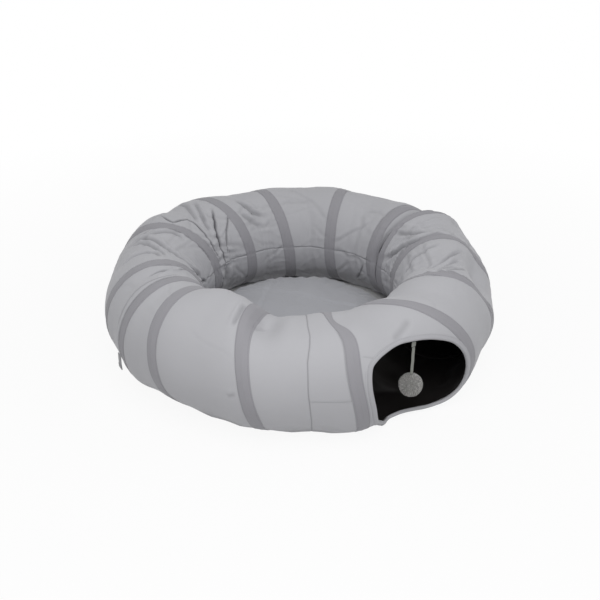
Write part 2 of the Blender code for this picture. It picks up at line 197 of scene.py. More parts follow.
def wovenCloth(name, colour, dark, light, thread, relief, mottle, roughness, sheen, paintedShadeColour=None):
    # a plain weave counted in metres along the piece's own cloth map
    made = Finish(name, Sheen_Weight=sheen, Sheen_Roughness=0.45, Specular_IOR_Level=0.3)
    colour, dark, light = tone(*colour), tone(*dark), tone(*light)
    uv = made.uv()
    across, along, _ = made.split(uv)
    turn = 2 * pi / thread
    weave = (across * turn).sine() * (along * turn).sine() * 0.5 + 0.5
    slubs = made.noise(made.scaled(uv, (900.0, 160.0, 1.0)), 1.0, 2.0)
    cloudy = made.noise(made.place(), 9.0, 3.0)
    grain = made.noise(made.place(), 420.0, 2.0)
    share = (cloudy * 0.5 + grain * 0.3 + slubs * 0.2 - 0.5) * mottle + 0.5
    shade = made.mixed(share.clamped(), dark, light)
    whole = made.mixed(0.7, shade, colour)
    # painted shade: a point attribute darkens the colour towards a dark grey in the folds, along seams and beside the
    # tapes, where shade falls
    if paintedShadeColour:
        crease = made.node("ShaderNodeAttribute", {"attribute_name": "crease"}, output="Fac")
        whole = made.mixed(crease.clamped(), whole, tone(*paintedShadeColour))
    made.feed(Base_Color=whole, Roughness=grain * 0.12 + (roughness - 0.06))
    made.bump(weave * 0.6 + slubs * 0.25 + grain * 0.25, relief)
    return made.material


def ribbedTape(name, colour, dark, light, rib, relief, roughness):
    # ribs run across the tape; its map has the tape's width in u and its length in v
    made = Finish(name, Sheen_Weight=0.15, Sheen_Roughness=0.5, Specular_IOR_Level=0.3)
    colour, dark, light = tone(*colour), tone(*dark), tone(*light)
    uv = made.uv()
    across, along, _ = made.split(uv)
    ribs = (along * (2 * pi / rib)).sine() * 0.5 + 0.5
    threads = (across * (2 * pi / (rib * 0.6))).sine() * 0.5 + 0.5
    grain = made.noise(made.place(), 500.0, 2.0)
    cloudy = made.noise(made.place(), 14.0, 2.0)
    share = cloudy * 0.5 + grain * 0.3 + ribs * 0.1 + 0.05
    made.feed(Base_Color=made.mixed(0.6, made.mixed(share.clamped(), dark, light), colour),
              Roughness=grain * 0.14 + (roughness - 0.07))
    made.bump(ribs * 0.7 + threads * 0.2 + grain * 0.2, relief)
    return made.material


def plainThread(name, colour, roughness):
    made = Finish(name, Specular_IOR_Level=0.35)
    colour = tone(*colour)
    grain = made.noise(made.place(), 1800.0, 2.0)
    made.feed(Base_Color=made.mixed(grain * 0.5, colour, tuple(part * 0.7 for part in colour[:3]) + (1.0,)),
              Roughness=grain * 0.1 + (roughness - 0.05))
    made.bump(grain, 0.00008)
    return made.material


def yarnFibres(name):
    # every fibre of the ball carries its own tint
    made = Finish(name, Sheen_Weight=0.35, Sheen_Roughness=0.4, Specular_IOR_Level=0.15)
    tint = made.node("ShaderNodeAttribute", {"attribute_name": "tint"}, output="Fac")
    grain = made.noise(made.place(), 2400.0, 2.0)
    ramp = made.node("ShaderNodeValToRGB", {"stops": (
        (0.0, tone(132, 131, 130)), (0.45, tone(180, 179, 177)),
        (0.8, tone(208, 207, 205)), (1.0, tone(238, 238, 235)))}, Fac=(tint + grain * 0.2 - 0.1).clamped())
    made.feed(Base_Color=ramp, Roughness=grain * 0.1 + 0.85)
    made.bump(grain, 0.0001)
    return made.material


def springSteel(name):
    made = Finish(name, Metallic=1.0, Anisotropic=0.4)
    drawn = made.noise(made.scaled(made.place(), (60.0, 60.0, 900.0)), 1.0, 3.0)
    made.feed(Base_Color=made.mixed(drawn, tone(150, 150, 150), tone(190, 190, 190)), Roughness=drawn * 0.2 + 0.25)
    made.bump(drawn, 0.00003)
    return made.material


finishes = {
    # the panel cloth is darkened towards (74, 73, 78) where shade is painted in folds, along seams and beside tapes
    "panel": wovenCloth("softGreyCloth", (179, 179, 183), (166, 166, 170), (192, 192, 196), 0.0009, 0.00007, 0.9,
                        0.78, 0.22, paintedShadeColour=(74, 73, 78)),
    "tape": ribbedTape("greyHoopTape", (151, 150, 155), (139, 138, 143), (161, 160, 165), 0.0014, 0.00009, 0.74),
    "lining": wovenCloth("blackLining", (24, 21, 21), (16, 14, 14), (38, 34, 33), 0.0012, 0.00008, 1.0, 0.62, 0.05),
    "hem": wovenCloth("turnedHem", (172, 172, 176), (158, 158, 162), (184, 184, 188), 0.0009, 0.00007, 0.9, 0.78, 0.22),
    "cushion": wovenCloth("cushionCloth", (168, 169, 174), (154, 155, 160), (180, 181, 186), 0.0011, 0.00010, 1.0,
                          0.82, 0.35),
    "thread": plainThread("greyThread", (138, 138, 143), 0.7),
    "darkThread": plainThread("darkThread", (104, 103, 108), 0.7),
    "yarn": yarnFibres("yarnEnds"),
    "elastic": ribbedTape("braidedElastic", (138, 140, 134), (124, 126, 120), (152, 154, 148), 0.0011, 0.00018, 0.7),
    "webbing": ribbedTape("greyWebbing", (158, 158, 161), (140, 140, 143), (174, 174, 177), 0.0018, 0.00025, 0.72),
    "steel": springSteel("springSteel"),
}
print("finishes:", len(finishes))

# the tube's skin, in ring angle and tube angle (0 outside, 90 top, 180 inside, -90 floor)
tube = {
    "ringRadius": 0.348, "halfWidth": 0.117, "halfHeight": 0.129, "centre": 0.1306,
    "dipShare": 0.03, "innerFold": 0.9, "floorSag": 0.018, "sagStart": 0.8, "sagSteep": 1.35, "sagFrom": 0.09,
    "rest": 0.0004,
}
# each hoop in degrees: its place, how far its outside leads it and its inside lags, how far its top leads and its
# foot lags
hoops = np.radians(np.array([
    (-20.3, 0.3, -3.8), (6.2, 10.6, -5.0), (31.5, 5.5, -3.0), (62.3, -3.8, -1.9), (84.1, -1.4, -1.5),
    (93.0, -0.8, 0.5), (125.5, 0.0, 1.0), (158.0, 5.0, 5.0), (183.6, 4.3, 4.7), (214.0, 4.0, 7.0),
    (252.5, 2.5, 2.0), (268.6, 0.9, 1.7), (284.7, 0.7, -3.7), (311.7, 0.8, -3.0),
]))
hoopCount = len(hoops)
# where a tape leaves its hoop's even line: mm to the side and at which tube angle, share narrower and where
pulled = {0: (17.5, 58, 0.52, 102), 1: (0, 0, -0.15, 46)}
pull = np.array([pulled.get(k, (0, 0, 0, 0)) for k in range(hoopCount)]) * (0.001, radians(1), 1, radians(1))
hoops = np.hstack([hoops, pull])
tape = {
    "half": 0.0140, "tuck": 0.0020, "stitchAcross": 0.0121, "stitchPitch": 0.0042, "columns": 250,
    "wander": 0.0011,
    # across the tape and above the cloth, in mm: a flat tape with the wire's low ridge in the middle
    "section": ((-14.6, 0.15), (-14.3, 0.75), (-13.4, 0.95), (-6.0, 1.0), (-2.8, 1.05), (-1.0, 1.5), (1.0, 1.5),
                (2.8, 1.05), (6.0, 1.0), (13.4, 0.95), (14.3, 0.75), (14.6, 0.15), (13.0, -0.25), (-13.0, -0.25)),
}
# grooves beside a tape: panel, whether at its end, shade, depth in mm, and the tube angles that it runs between
edgeLines = ((4, False, 0.95, 4.0, 15, 215), (2, False, 0.55, 2.4, -10, 175), (10, True, 0.60, 2.4, -35, 120),
             (9, False, 0.50, 2.4, 85, 205), (3, False, 0.35, 1.6, 40, 190), (9, True, 0.35, 1.4, -20, 90),
             (8, True, 0.35, 1.6, 60, 190), (13, True, 0.25, 1.0, -40, 80), (5, False, 0.40, 1.8, 60, 215))
wire = {"radius": 0.0015, "depth": 0.0021, "sides": 8}
cloth = {
    "cell": 0.0045, "divide": 4, "thickness": 0.0012,
    # cells are divided within this many widths of a crease and a margin, and sharpReach holds them all
    "sharpReach": 0.012, "fineWidths": 2.2, "fineMargin": 0.003, "fineCells": 1.6, "areaShare": (0.302, 0.999),
    # heights of the cloth's own relief, in metres, and the share of a fold's length over which its ends fade
    "gather": 0.0021, "roll": 0.0016, "ripple": 0.0007, "pucker": 0.0011, "foldFade": 0.22,
    # how loose each panel's cloth is, from the front entrance on: the front ones are taut
    "slack": (0.14, 0.40, 1.0, 1.0, 0.45, 0.65, 0.6, 0.7, 1.0, 0.9, 0.32, 0.25, 0.13, 0.12),
}
# a fold narrower than sharpBelow, in mm, is a sharp crease between two swollen sides, any other is soft; depths and
# widths here are against the fold's own
creases = {
    "sharpBelow": 3.7, "deeper": 1.15, "narrower": 0.86, "softDeeper": 2.7, "reach": 11, "softReach": 5,
    "power": 1.4, "billow": 4.5, "billowShare": 0.15, "step": 0.6, "stepFrom": 0.8,
    "softLift": 0.42, "softLiftAt": 2.1, "softLiftWidth": 1.25, "softStep": 0.5,
    # painted shade in the folds: the depth at which a sharp fold is fully dark, the share that soft folds get, and
    # along seams the darkness per metre of depth and its most
    "fullShade": 0.0060, "softShade": 0.42, "sewnShade": 190, "sewnShadeMost": 0.45,
    # the grooves beside a tape, in metres: how far from it, and how wide
    "grooveAt": 0.0010, "grooveWidth": 0.0019,
}
# broad rises and hollows of the cloth: ring and tube angle, reach both ways in degrees, height in mm
swells = (
    (211, 60, 11, 30, 14), (196, 64, 7, 26, 4), (167, 62, 10, 30, -12), (122, 62, 8, 30, -11), (102, 62, 7, 28, -5),
    (91, 60, 5, 26, -11), (79, 58, 7, 22, 12), (46, 42, 11, 26, -34), (293, 120, 8, 34, 23), (315, 92, 5, 40, -34),
    (328, 90, 9, 40, -17), (341, 92, 8, 38, -10), (352, 95, 8, 40, -12), (10, -45, 10, 28, 20), (288, -50, 12, 25, -8),
    (340, -50, 9, 25, 10), (274, -40, 6, 22, 8), (350.4, -60, 1.6, 12, 8), (22, -45, 6, 25, 6), (50, 35, 10, 22, -6),
    (38, 110, 9, 26, -14), (8, 108, 8, 26, -9), (339, 100, 4.5, 26, -10), (312, 98, 3, 26, -9), (301, 112, 4, 24, 8),
    (226, 55, 5, 24, -6), (204, 62, 4, 24, -5), (63, 50, 4, 22, -7), (80, 105, 5, 30, 7), (89.5, 110, 3.2, 36, -9),
)

# folds seen in the cloth: depth and width in mm (a depth below 0 is a ridge), then the line it follows in degrees
# each fold also paints shade into the cloth's colour along its valley, more for deeper folds
seenFolds = {
    "wavyCrease": (4.6, 2.6, ((212.0, 66), (212.8, 78), (215.0, 86), (216.1, 93), (215.9, 98), (213.4, 100),
        (211.0, 101), (207.8, 107), (207.2, 115), (207.9, 127), (207.9, 139), (208.2, 150), (207.1, 164),
        (204.0, 178))),
    "deepCrease": (5.2, 3.5, ((191.2, 103), (194.3, 117), (197.2, 130), (199.3, 140), (200.7, 151), (201.2, 160),
        (201.1, 167), (200.5, 173), (200.1, 177), (201.8, 184), (203.5, 191))),
    "softAboveDeep": (1.9, 4.4, ((199.1, 105), (200.4, 111), (201.4, 118), (202.0, 125), (202.0, 130), (201.9, 135))),
    "innerCrease": (3.4, 2.7, ((184.3, 118), (187.5, 127), (191.2, 138), (194.2, 148), (195.8, 159), (197.0, 167),
        (197.7, 175))),
    "wellLeft": (6.0, 3.4, ((203.5, 191), (201.2, 207), (200.3, 224), (200.4, 240))),
    "cornerPocket": (2.2, 9.0, ((199.4, 182), (198.6, 196), (198.0, 210))),
    "underLeftTape": (3.6, 2.6, ((218.4, 112), (219.2, 134), (218.0, 149), (214.0, 170), (206.9, 193))),
    "arcA": (2.4, 5.0, ((234.4, 50), (230.8, 70), (231.8, 86), (234.8, 99), (239.6, 114), (241.3, 126),
        (239.3, 146))),
    "arcB": (2.0, 4.5, ((233.5, 58), (234.4, 77), (237.7, 91), (242.8, 102), (248.6, 108))),
    "arcC": (2.2, 5.0, ((233.9, 64), (228.2, 82), (225.3, 98), (223.5, 110), (224.9, 125))),
    "arcD": (2.0, 4.2, ((244.7, 52), (243.1, 70), (242.9, 85), (245.1, 96), (249.2, 103))),
    "arcE": (2.2, 4.2, ((236.9, 108), (243.2, 122), (242.2, 136), (239.0, 152), (231.0, 170))),
    "smallPinch": (3.4, 2.6, ((227.6, 66), (225.8, 73), (225.2, 78))),
    "slantA": (1.7, 5.0, ((198.1, 58), (198.9, 80), (203.0, 104), (205.1, 118))),
    "slantB": (1.7, 4.2, ((194.4, 80), (199.3, 110), (201.9, 125))),
    "leftInnerFold": (4.8, 3.2, ((243.5, 130), (243.8, 149), (234.9, 166), (222.4, 184))),
    "leftInnerSmall": (3.2, 2.5, ((248.7, 156), (238.0, 168), (227.6, 177))),
    "leftThin": (2.6, 2.2, ((263.2, 74), (260.7, 95), (259.8, 113), (254.1, 132))),
    "leftThinRidge": (-1.6, 4.0, ((265.3, 84), (263.3, 97), (257.9, 121))),
    "besideTape": (2.6, 2.0, ((266.8, 10), (266.4, 36), (265.8, 53), (265.8, 70), (266.3, 85), (266.2, 101),
        (264.4, 118))),
    "underTapeA": (2.2, 2.6, ((254.8, 66), (256.4, 87), (257.0, 105), (253.6, 122), (249.5, 138), (240.0, 158),
        (229.9, 174))),
    "backSoftA": (2.2, 5.0, ((178.3, 102), (172.4, 129), (166.4, 138))),
    "backSoftB": (1.7, 5.0, ((180.4, 125), (174.9, 141), (169.3, 150))),
    "deepPinch": (6.2, 3.5, ((88.2, 54), (88.0, 68), (87.5, 95), (87.3, 117), (88.0, 136), (89.0, 149), (89.9, 162),
        (91.0, 178), (91.4, 190), (91.0, 210))),
    "pinchBed": (2.6, 10.0, ((88.3, 46), (88.1, 68), (87.8, 95), (87.6, 117), (88.2, 136), (89.2, 149), (90.0, 170),
        (90.6, 200))),
    "pinchSecond": (1.6, 2.0, ((84.7, 132), (85.0, 153), (85.5, 172), (87.6, 195))),
    "rightA": (2.2, 5.0, ((82.4, 135), (71.1, 119), (66.9, 101))),
    "rightRidgeA": (-2.0, 5.0, ((74.8, 124), (74.9, 100), (76.6, 74))),
    "rightB": (3.2, 4.2, ((80.3, 168), (71.9, 148), (67.6, 132), (62.6, 110))),
    "rightRidgeB": (-1.7, 4.2, ((77.0, 134), (67.7, 118), (63.8, 98), (64.4, 78))),
    "besideTapeR": (2.8, 2.6, ((59.6, 40), (60.8, 66), (61.8, 84), (62.6, 98), (63.4, 114), (64.8, 131), (66.6, 146),
        (68.6, 164), (70.0, 184))),
    "fanA": (3.2, 4.6, ((52.6, 66), (51.8, 75), (42.0, 100), (35.4, 119), (34.8, 136), (35.5, 155))),
    "fanB": (2.4, 4.0, ((46.8, 76), (36.1, 95), (31.8, 109), (28.5, 118))),
    "fanC": (2.2, 4.0, ((38.5, 79), (33.5, 92), (30.4, 99))),
    "fanD": (2.7, 4.6, ((55.3, 98), (52.8, 119), (53.0, 135), (50.1, 149), (44.0, 166))),
    "fanE": (2.0, 4.0, ((42.9, 62), (34.4, 80), (31.0, 90))),
    "besideFrontTape": (4.2, 2.6, ((22.6, 108), (24.6, 100), (26.6, 89), (28.0, 77), (29.6, 63), (31.7, 48),
        (33.2, 34), (33.9, 19), (33.6, 0), (32.0, -20))),
    "wellRightA": (3.2, 3.0, ((99.5, 184), (105.5, 207), (110.0, 223))),
    "wellRightB": (2.6, 2.6, ((96.1, 180), (95.0, 204))),
    "aboveMouth": (1.0, 7.0, ((359.6, 66), (356.4, 58), (353.5, 52), (351.3, 47))),
    "mouthFaint": (0.7, 1.6, ((341.2, 39), (343.4, 37), (345.7, 34))),
    "topNotch": (0.7, 4.0, ((311.0, 74), (312.4, 85), (314.0, 96))),
    "topFold": (1.5, 4.0, ((305.6, 66), (305.6, 85), (305.2, 106))),
    "smallTuck": (0.8, 3.8, ((307.6, 0), (309.7, 4))),
}
# sewn lines in the cloth: depth and width in mm, then the line
# each seam also paints shade along its groove
seams = {
    "frontSeam": (1.3, 1.5, ((328.0, 180), (328.0, 135), (328.0, 90), (328.4, 69), (328.1, 55), (327.4, 38),
        (327.5, 9), (328.3, -20), (328.9, -54), (328.9, -85))),
    "wallSeamBack": (1.8, 1.6, tuple((angle, 178.5) for angle in range(96, 216, 10))),
    "wallSeamFront": (1.8, 1.6, tuple((angle, 178.5) for angle in range(206, 462, 15))),
    "frontCross": (0.25, 3.0, ((327.8, 0), (330.3, 0), (334.0, -0.5), (338.6, -1))),
}


def wrapped(angle):
    # the same direction between -pi and pi
    return (angle + pi) % (2 * pi) - pi


def nearAngle(phi, angle):
    # 1 where the tube angle is this one, fading to 0 about 50 degrees away
    return np.exp(-(wrapped(phi - angle) / radians(28)) ** 2)


def hoopLine(rows, phi):
    place, lead, lean, aside, asideAt, _, _ = rows.T
    return place + lead * np.cos(phi) + lean * np.sin(phi) + aside * nearAngle(phi, asideAt) / ringRadiusAt(phi)


def hoopAngle(index, phi):
    return 2 * pi * (index // hoopCount) + hoopLine(hoops[index % hoopCount], phi)


def tapeShare(rows, phi):
    # how wide the tape shows, against its full width
    return 1 - rows.T[5] * nearAngle(phi, rows.T[6])


def ringRadiusAt(phi):
    return tube["ringRadius"] + tube["halfWidth"] * np.cos(phi)


def smoothStep(value):
    value = np.clip(value, 0, 1)
    return value * value * (3 - 2 * value)


def lineField(theta, phi, fold, reach):
    # distance in metres to a fold's line, the side it lies on, and the share along it, for the points within reach
    spots, middle = fold["spots"], fold["middle"]
    around = wrapped(theta - middle)
    centre = spots[:, 1].mean()
    spot = wrapped(phi - centre) + centre
    spanPhi = reach / tubeRadius
    near = np.nonzero((np.abs(around) < fold["half"] + reach / ringRadiusAt(phi))
                      & (spot > spots[:, 1].min() - spanPhi) & (spot < spots[:, 1].max() + spanPhi))[0]
    best = np.full(len(near), 1e9)
    side = np.zeros(len(near))
    share = np.zeros(len(near))
    if not len(near):
        return near, best, side, share
    x0, y0 = around[near] + middle, spot[near]
    radius = ringRadiusAt(phi[near])
    for k, length in enumerate(fold["lengths"]):
        ax, ay = (spots[k, 0] - x0) * radius, (spots[k, 1] - y0) * tubeRadius
        bx, by = (spots[k + 1, 0] - x0) * radius, (spots[k + 1, 1] - y0) * tubeRadius
        dx, dy = bx - ax, by - ay
        part = np.clip(-(ax * dx + ay * dy) / np.maximum(dx * dx + dy * dy, 1e-12), 0, 1)
        distance = np.hypot(ax + dx * part, ay + dy * part)
        closer = distance < best
        best = np.where(closer, distance, best)
        side = np.where(closer, np.sign(ax * dy - ay * dx), side)
        share = np.where(closer, (fold["starts"][k] + length * part) / fold["starts"][-1], share)
    return near, best, side, share


def foldsNear(theta, reach=None):
    # the folds that can reach a batch of points
    centre = (theta.min() + theta.max()) / 2
    half = theta.max() - centre
    narrowest = tube["ringRadius"] - tube["halfWidth"]
    for fold in foldLines:
        away = abs(wrapped(fold["middle"] - centre))
        if away < half + fold["half"] + (reach or fold["reach"]) / narrowest:
            yield fold


def rollingNoise(x, y, seed):
    # smooth value noise between -1 and 1 on a lattice of whole numbers
    def corner(i, j):
        mixed = np.sin(i * 127.1 + j * 311.7 + seed * 74.7) * 43758.5453
        return (mixed - np.floor(mixed)) * 2 - 1
    i, j = np.floor(x), np.floor(y)
    u, v = smoothStep(x - i), smoothStep(y - j)
    return ((corner(i, j) * (1 - u) + corner(i + 1, j) * u) * (1 - v)
            + (corner(i, j + 1) * (1 - u) + corner(i + 1, j + 1) * u) * v)


# the small folds that start at the tapes: how many in the slackest cloth, the tube angles where they start, and
# how far they run, in shares of the panel's width and in degrees; depth and width are in mm
# where they are valleys these folds also paint soft shade into the cloth's colour
loose = {
    "seed": 11, "count": 12, "perDegree": 0.55, "anywhere": (-70, 285), "anywhereShare": 0.45, "inside": (165, 38),
    "start": 0.03, "reach": (0.3, 0.85), "drift": 16, "wander": 2.0, "depth": (0.6, 2.2), "width": (3.0, 6.5),
    "tautShare": 0.35, "ways": (1, 1, -0.8),
}


def looseFolds():
    dice = np.random.default_rng(loose["seed"])
    made = []
    for index in range(hoopCount):
        slack = cloth["slack"][index]
        pitch = np.degrees(hoopAngle(index + 1, 0) - hoopAngle(index, 0))
        for _ in range(int(slack * (loose["count"] + pitch * loose["perDegree"]))):
            start = dice.choice((0, 1))
            anywhere = dice.random() < loose["anywhereShare"]
            phi = dice.uniform(*loose["anywhere"]) if anywhere else dice.normal(*loose["inside"])
            reach = dice.uniform(*loose["reach"])
            drift = dice.normal(0, loose["drift"]) * pitch / 25
            line = []
            for step in range(5):
                part = step / 4
                across = loose["start"] + reach * part
                across = across if start == 0 else 1 - across
                angle = phi + drift * part + dice.normal(0, loose["wander"])
                first, last = (np.degrees(hoopAngle(index + end, radians(angle))) for end in (0, 1))
                line.append((first + (last - first) * across, angle))
            depth = dice.uniform(*loose["depth"]) * (loose["tautShare"] + (1 - loose["tautShare"]) * slack)
            depth = depth * dice.choice(loose["ways"])
            made.append((depth, dice.uniform(*loose["width"]), tuple(line)))
    return made


def foldLine(depth, width, line, kind):
    # everything about one fold that doesn't change with the point that is asked for
    spots = np.radians(np.array(line, float))
    if kind == "sharp":
        # corners cut once, so that the crease bends evenly
        cut = np.stack([0.75 * spots[:-1] + 0.25 * spots[1:], 0.25 * spots[:-1] + 0.75 * spots[1:]], 1).reshape(-1, 2)
        spots = np.vstack([spots[:1], cut, spots[-1:]])
    middle = (spots[:, 0].min() + spots[:, 0].max()) / 2
    lengths = np.hypot(np.diff(spots[:, 0]) * tube["ringRadius"], np.diff(spots[:, 1]) * tubeRadius)
    reach = (creases["reach"] if kind == "sharp" else creases["softReach"]) * width
    return {"depth": depth, "width": width, "kind": kind, "spots": spots, "middle": middle, "reach": reach,
            "half": spots[:, 0].max() - middle, "lengths": lengths, "starts": np.concatenate([[0], np.cumsum(lengths)])}


tubeRadius = (tube["halfWidth"] + tube["halfHeight"]) / 2
foldLines = []
for depth, width, line in seenFolds.values():
    sharp = width < creases["sharpBelow"]
    deeper, narrower = (creases["deeper"], creases["narrower"]) if sharp else (creases["softDeeper"], 1.0)
    foldLines.append(foldLine(0.001 * depth * deeper, 0.001 * width * narrower, line, "sharp" if sharp else "soft"))
foldLines += [foldLine(0.001 * depth, 0.001 * width, line, "soft") for depth, width, line in looseFolds()]
foldLines += [foldLine(0.001 * depth, 0.001 * width, line, "sewn") for depth, width, line in seams.values()]
print("folds:", len(foldLines))


def panelAt(theta, phi):
    # the panel under each point, and the share of the way across it between the tapes
    start = hoopAngle(0, phi)
    turned = start + (theta - start) % (2 * pi)
    index = np.zeros(len(theta), int)
    for k in range(1, hoopCount):
        index += turned >= hoopAngle(k, phi)
    radius = ringRadiusAt(phi)
    one, other = hoops[index], hoops[(index + 1) % hoopCount]
    first = hoopLine(one, phi) + tape["half"] * tapeShare(one, phi) / radius
    last = hoopLine(other, phi) + 2 * pi * (index == hoopCount - 1) - tape["half"] * tapeShare(other, phi) / radius
    return index, np.clip((turned - first) / (last - first), 0, 1), (last - first) * radius


def relief(theta, phi, amount=1.0):
    # how far the cloth stands out of the plain tube, how far it sags to the floor, and how much shade is painted into
    # its colour in folds, along seams and beside tapes
    index, share, width = panelAt(theta, phi)
    slack = np.array(cloth["slack"])[index]
    inner = (1 - np.cos(phi)) / 2
    between = np.sin(pi * share) ** 2
    out = -tube["dipShare"] * width * (1 + tube["innerFold"] * inner) * between
    # gathers where the ring is tightest, and a slow roll of the whole cloth
    gather = np.cos(2 * pi * (share * (1.5 + 3.5 * slack)) + 2.1 * rollingNoise(phi * 1.9, index * 3.7, 3) + index)
    out = out + amount * cloth["gather"] * slack * gather * inner ** 2 * between
    out = out + amount * cloth["roll"] * (0.3 + slack) * rollingNoise(theta * 7.0, phi * 2.2, 5) * between
    ripple = rollingNoise(theta * 24.0, phi * 6.0, 8) * np.sqrt(between)
    out = out + amount * cloth["ripple"] * (0.15 + slack) * ripple
    # puckers along the sewn edges
    edge = np.minimum(share, 1 - share) * width
    pucker = rollingNoise(phi * 26.0, index + (share > 0.5) * 5.0, 9) * np.exp(-edge / 0.010)
    out = out + amount * cloth["pucker"] * (0.14 + slack) * pucker * (1 - np.exp(-edge / 0.0015))
    shade = np.zeros(len(theta))
    for fold in foldsNear(theta):
        depth, lineWidth, kind = fold["depth"], fold["width"], fold["kind"]
        near, distance, side, along = lineField(theta, phi, fold, fold["reach"])
        if not len(near):
            continue
        if kind == "sewn":
            line = np.exp(-(distance / lineWidth) ** 2)
            out[near] -= amount * depth * line
            # painted shade along the seam's groove, darker for deeper grooves up to a limit
            dark = min(creases["sewnShadeMost"], creases["sewnShade"] * depth) * line
            shade[near] = np.maximum(shade[near], dark)
            continue
        ends = smoothStep(along / cloth["foldFade"]) * smoothStep((1 - along) / cloth["foldFade"])
        if kind == "sharp":
            # a narrow valley between two swollen sides, one of which stands over the other
            valley = np.exp(-(distance / lineWidth) ** creases["power"])
            lift = creases["billowShare"] * np.exp(-(distance / (creases["billow"] * lineWidth)) ** 2)
            lean = side * (1 - np.exp(-(distance / (creases["stepFrom"] * lineWidth)) ** 2))
            shape = lift * (1 + creases["step"] * lean) - valley
            # painted shade in a sharp fold's valley, full from the fullShade depth on
            dark = min(1.0, max(0.0, depth) / creases["fullShade"]) * valley
        else:
            valley = np.exp(-(distance / lineWidth) ** 2)
            away = (distance - creases["softLiftAt"] * lineWidth) / (creases["softLiftWidth"] * lineWidth)
            shape = creases["softLift"] * np.exp(-away ** 2) * (1 + creases["softStep"] * side) - valley
            # painted shade in a soft fold's valley, at the softShade share of its full strength
            dark = creases["softShade"] * min(1.0, max(0.0, depth) / creases["fullShade"]) * valley
        out[near] += amount * depth * ends * shape
        shade[near] = np.maximum(shade[near], dark * ends)
    # a groove beside a tape, with shade painted along it at its listed strength
    for panel, atEnd, strength, depth, start, end in edgeLines:
        on = index == panel
        if on.any():
            away = (1 - share if atEnd else share) * width
            away = (away - creases["grooveAt"]) / creases["grooveWidth"]
            turned = (phi - radians(start)) % (2 * pi) / radians(end - start)
            line = on * np.exp(-away ** 2) * smoothStep(turned / 0.15) * smoothStep((1 - turned) / 0.15)
            out = out - amount * 0.001 * depth * line
            shade = np.maximum(shade, strength * line)
    for ringAngle, tubeAngle, ringReach, tubeReach, height in swells:
        around, over = wrapped(theta - radians(ringAngle)), wrapped(phi - radians(tubeAngle))
        out = out + 0.001 * height * np.exp(-(around / radians(ringReach)) ** 2 - (over / radians(tubeReach)) ** 2)
    low = np.clip((-np.sin(phi) - tube["sagStart"]) / (1 - tube["sagStart"]), 0, None)
    sag = tube["floorSag"] * low * np.minimum(1, tube["sagSteep"] * np.sin(pi * share))
    sag = sag * np.minimum(1, width / tube["sagFrom"])
    return out, sag, shade


def skin(theta, phi, offset, out=0.0, sag=0.0):
    across = tube["halfWidth"] + offset + out
    upright = tube["halfHeight"] + offset + out
    radius = tube["ringRadius"] + across * np.cos(phi)
    height = np.maximum(tube["centre"] + upright * np.sin(phi) - sag, tube["rest"] + np.maximum(0, -offset))
    return np.stack([radius * np.sin(theta), -radius * np.cos(theta), height], -1)


def clothSkin(theta, phi, height, amount=1.0):
    # a layer at a height above the cloth, with the cloth's own relief
    out, sag, _ = relief(theta, phi, amount)
    return skin(theta, phi, height, out, sag)


# mesh helpers
def unit(vectors):
    return vectors / np.linalg.norm(vectors, axis=1)[:, None]


def runningLength(points):
    return np.concatenate([[0], np.cumsum(np.linalg.norm(np.diff(points, axis=0), axis=1))])


def placed(name, data):
    obj = bpy.data.objects.new(name, data)
    bpy.context.scene.collection.objects.link(obj)
    return obj


def finishObject(obj, finish, body, *nodes, slot=None, smooth=True, sharpAngle=None):
    obj.data.materials.append(finishes[finish])
    if smooth:
        obj.data.shade_smooth()
    if sharpAngle:
        obj.data.set_sharp_from_angle(angle=radians(sharpAngle))
    if body:
        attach(obj, body)
    if nodes:
        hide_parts(*nodes)


def meshObject(name, points, faces, uvs=None):
    data = bpy.data.meshes.new(name)
    data.from_pydata([tuple(point) for point in points], [], faces)
    if uvs is not None:
        layer = data.uv_layers.new(name="cloth")
        layer.data.foreach_set("uv", np.asarray(uvs, np.float32).ravel())
    data.update()
    return placed(name, data)


def arrayObject(name, points, corners, starts, uvs, shade):
    # a mesh straight from arrays: the faces' corners one after another, and where each face starts
    kept, corners = np.unique(corners, return_inverse=True)
    data = bpy.data.meshes.new(name)
    data.vertices.add(len(kept))
    data.vertices.foreach_set("co", points[kept].astype(np.float32).ravel())
    data.loops.add(len(corners))
    data.loops.foreach_set("vertex_index", corners.astype(np.int32))
    data.polygons.add(len(starts))
    data.polygons.foreach_set("loop_start", starts.astype(np.int32))
    data.update(calc_edges=True)
    layer = data.uv_layers.new(name="cloth")
    layer.data.foreach_set("uv", uvs.astype(np.float32).ravel())
    # painted shade from folds, seams and tape edges, one value per point, which darkens the cloth's colour
    depth = data.attributes.new("crease", "FLOAT", "POINT")
    depth.data.foreach_set("value", shade[kept].astype(np.float32))
    return placed(name, data)


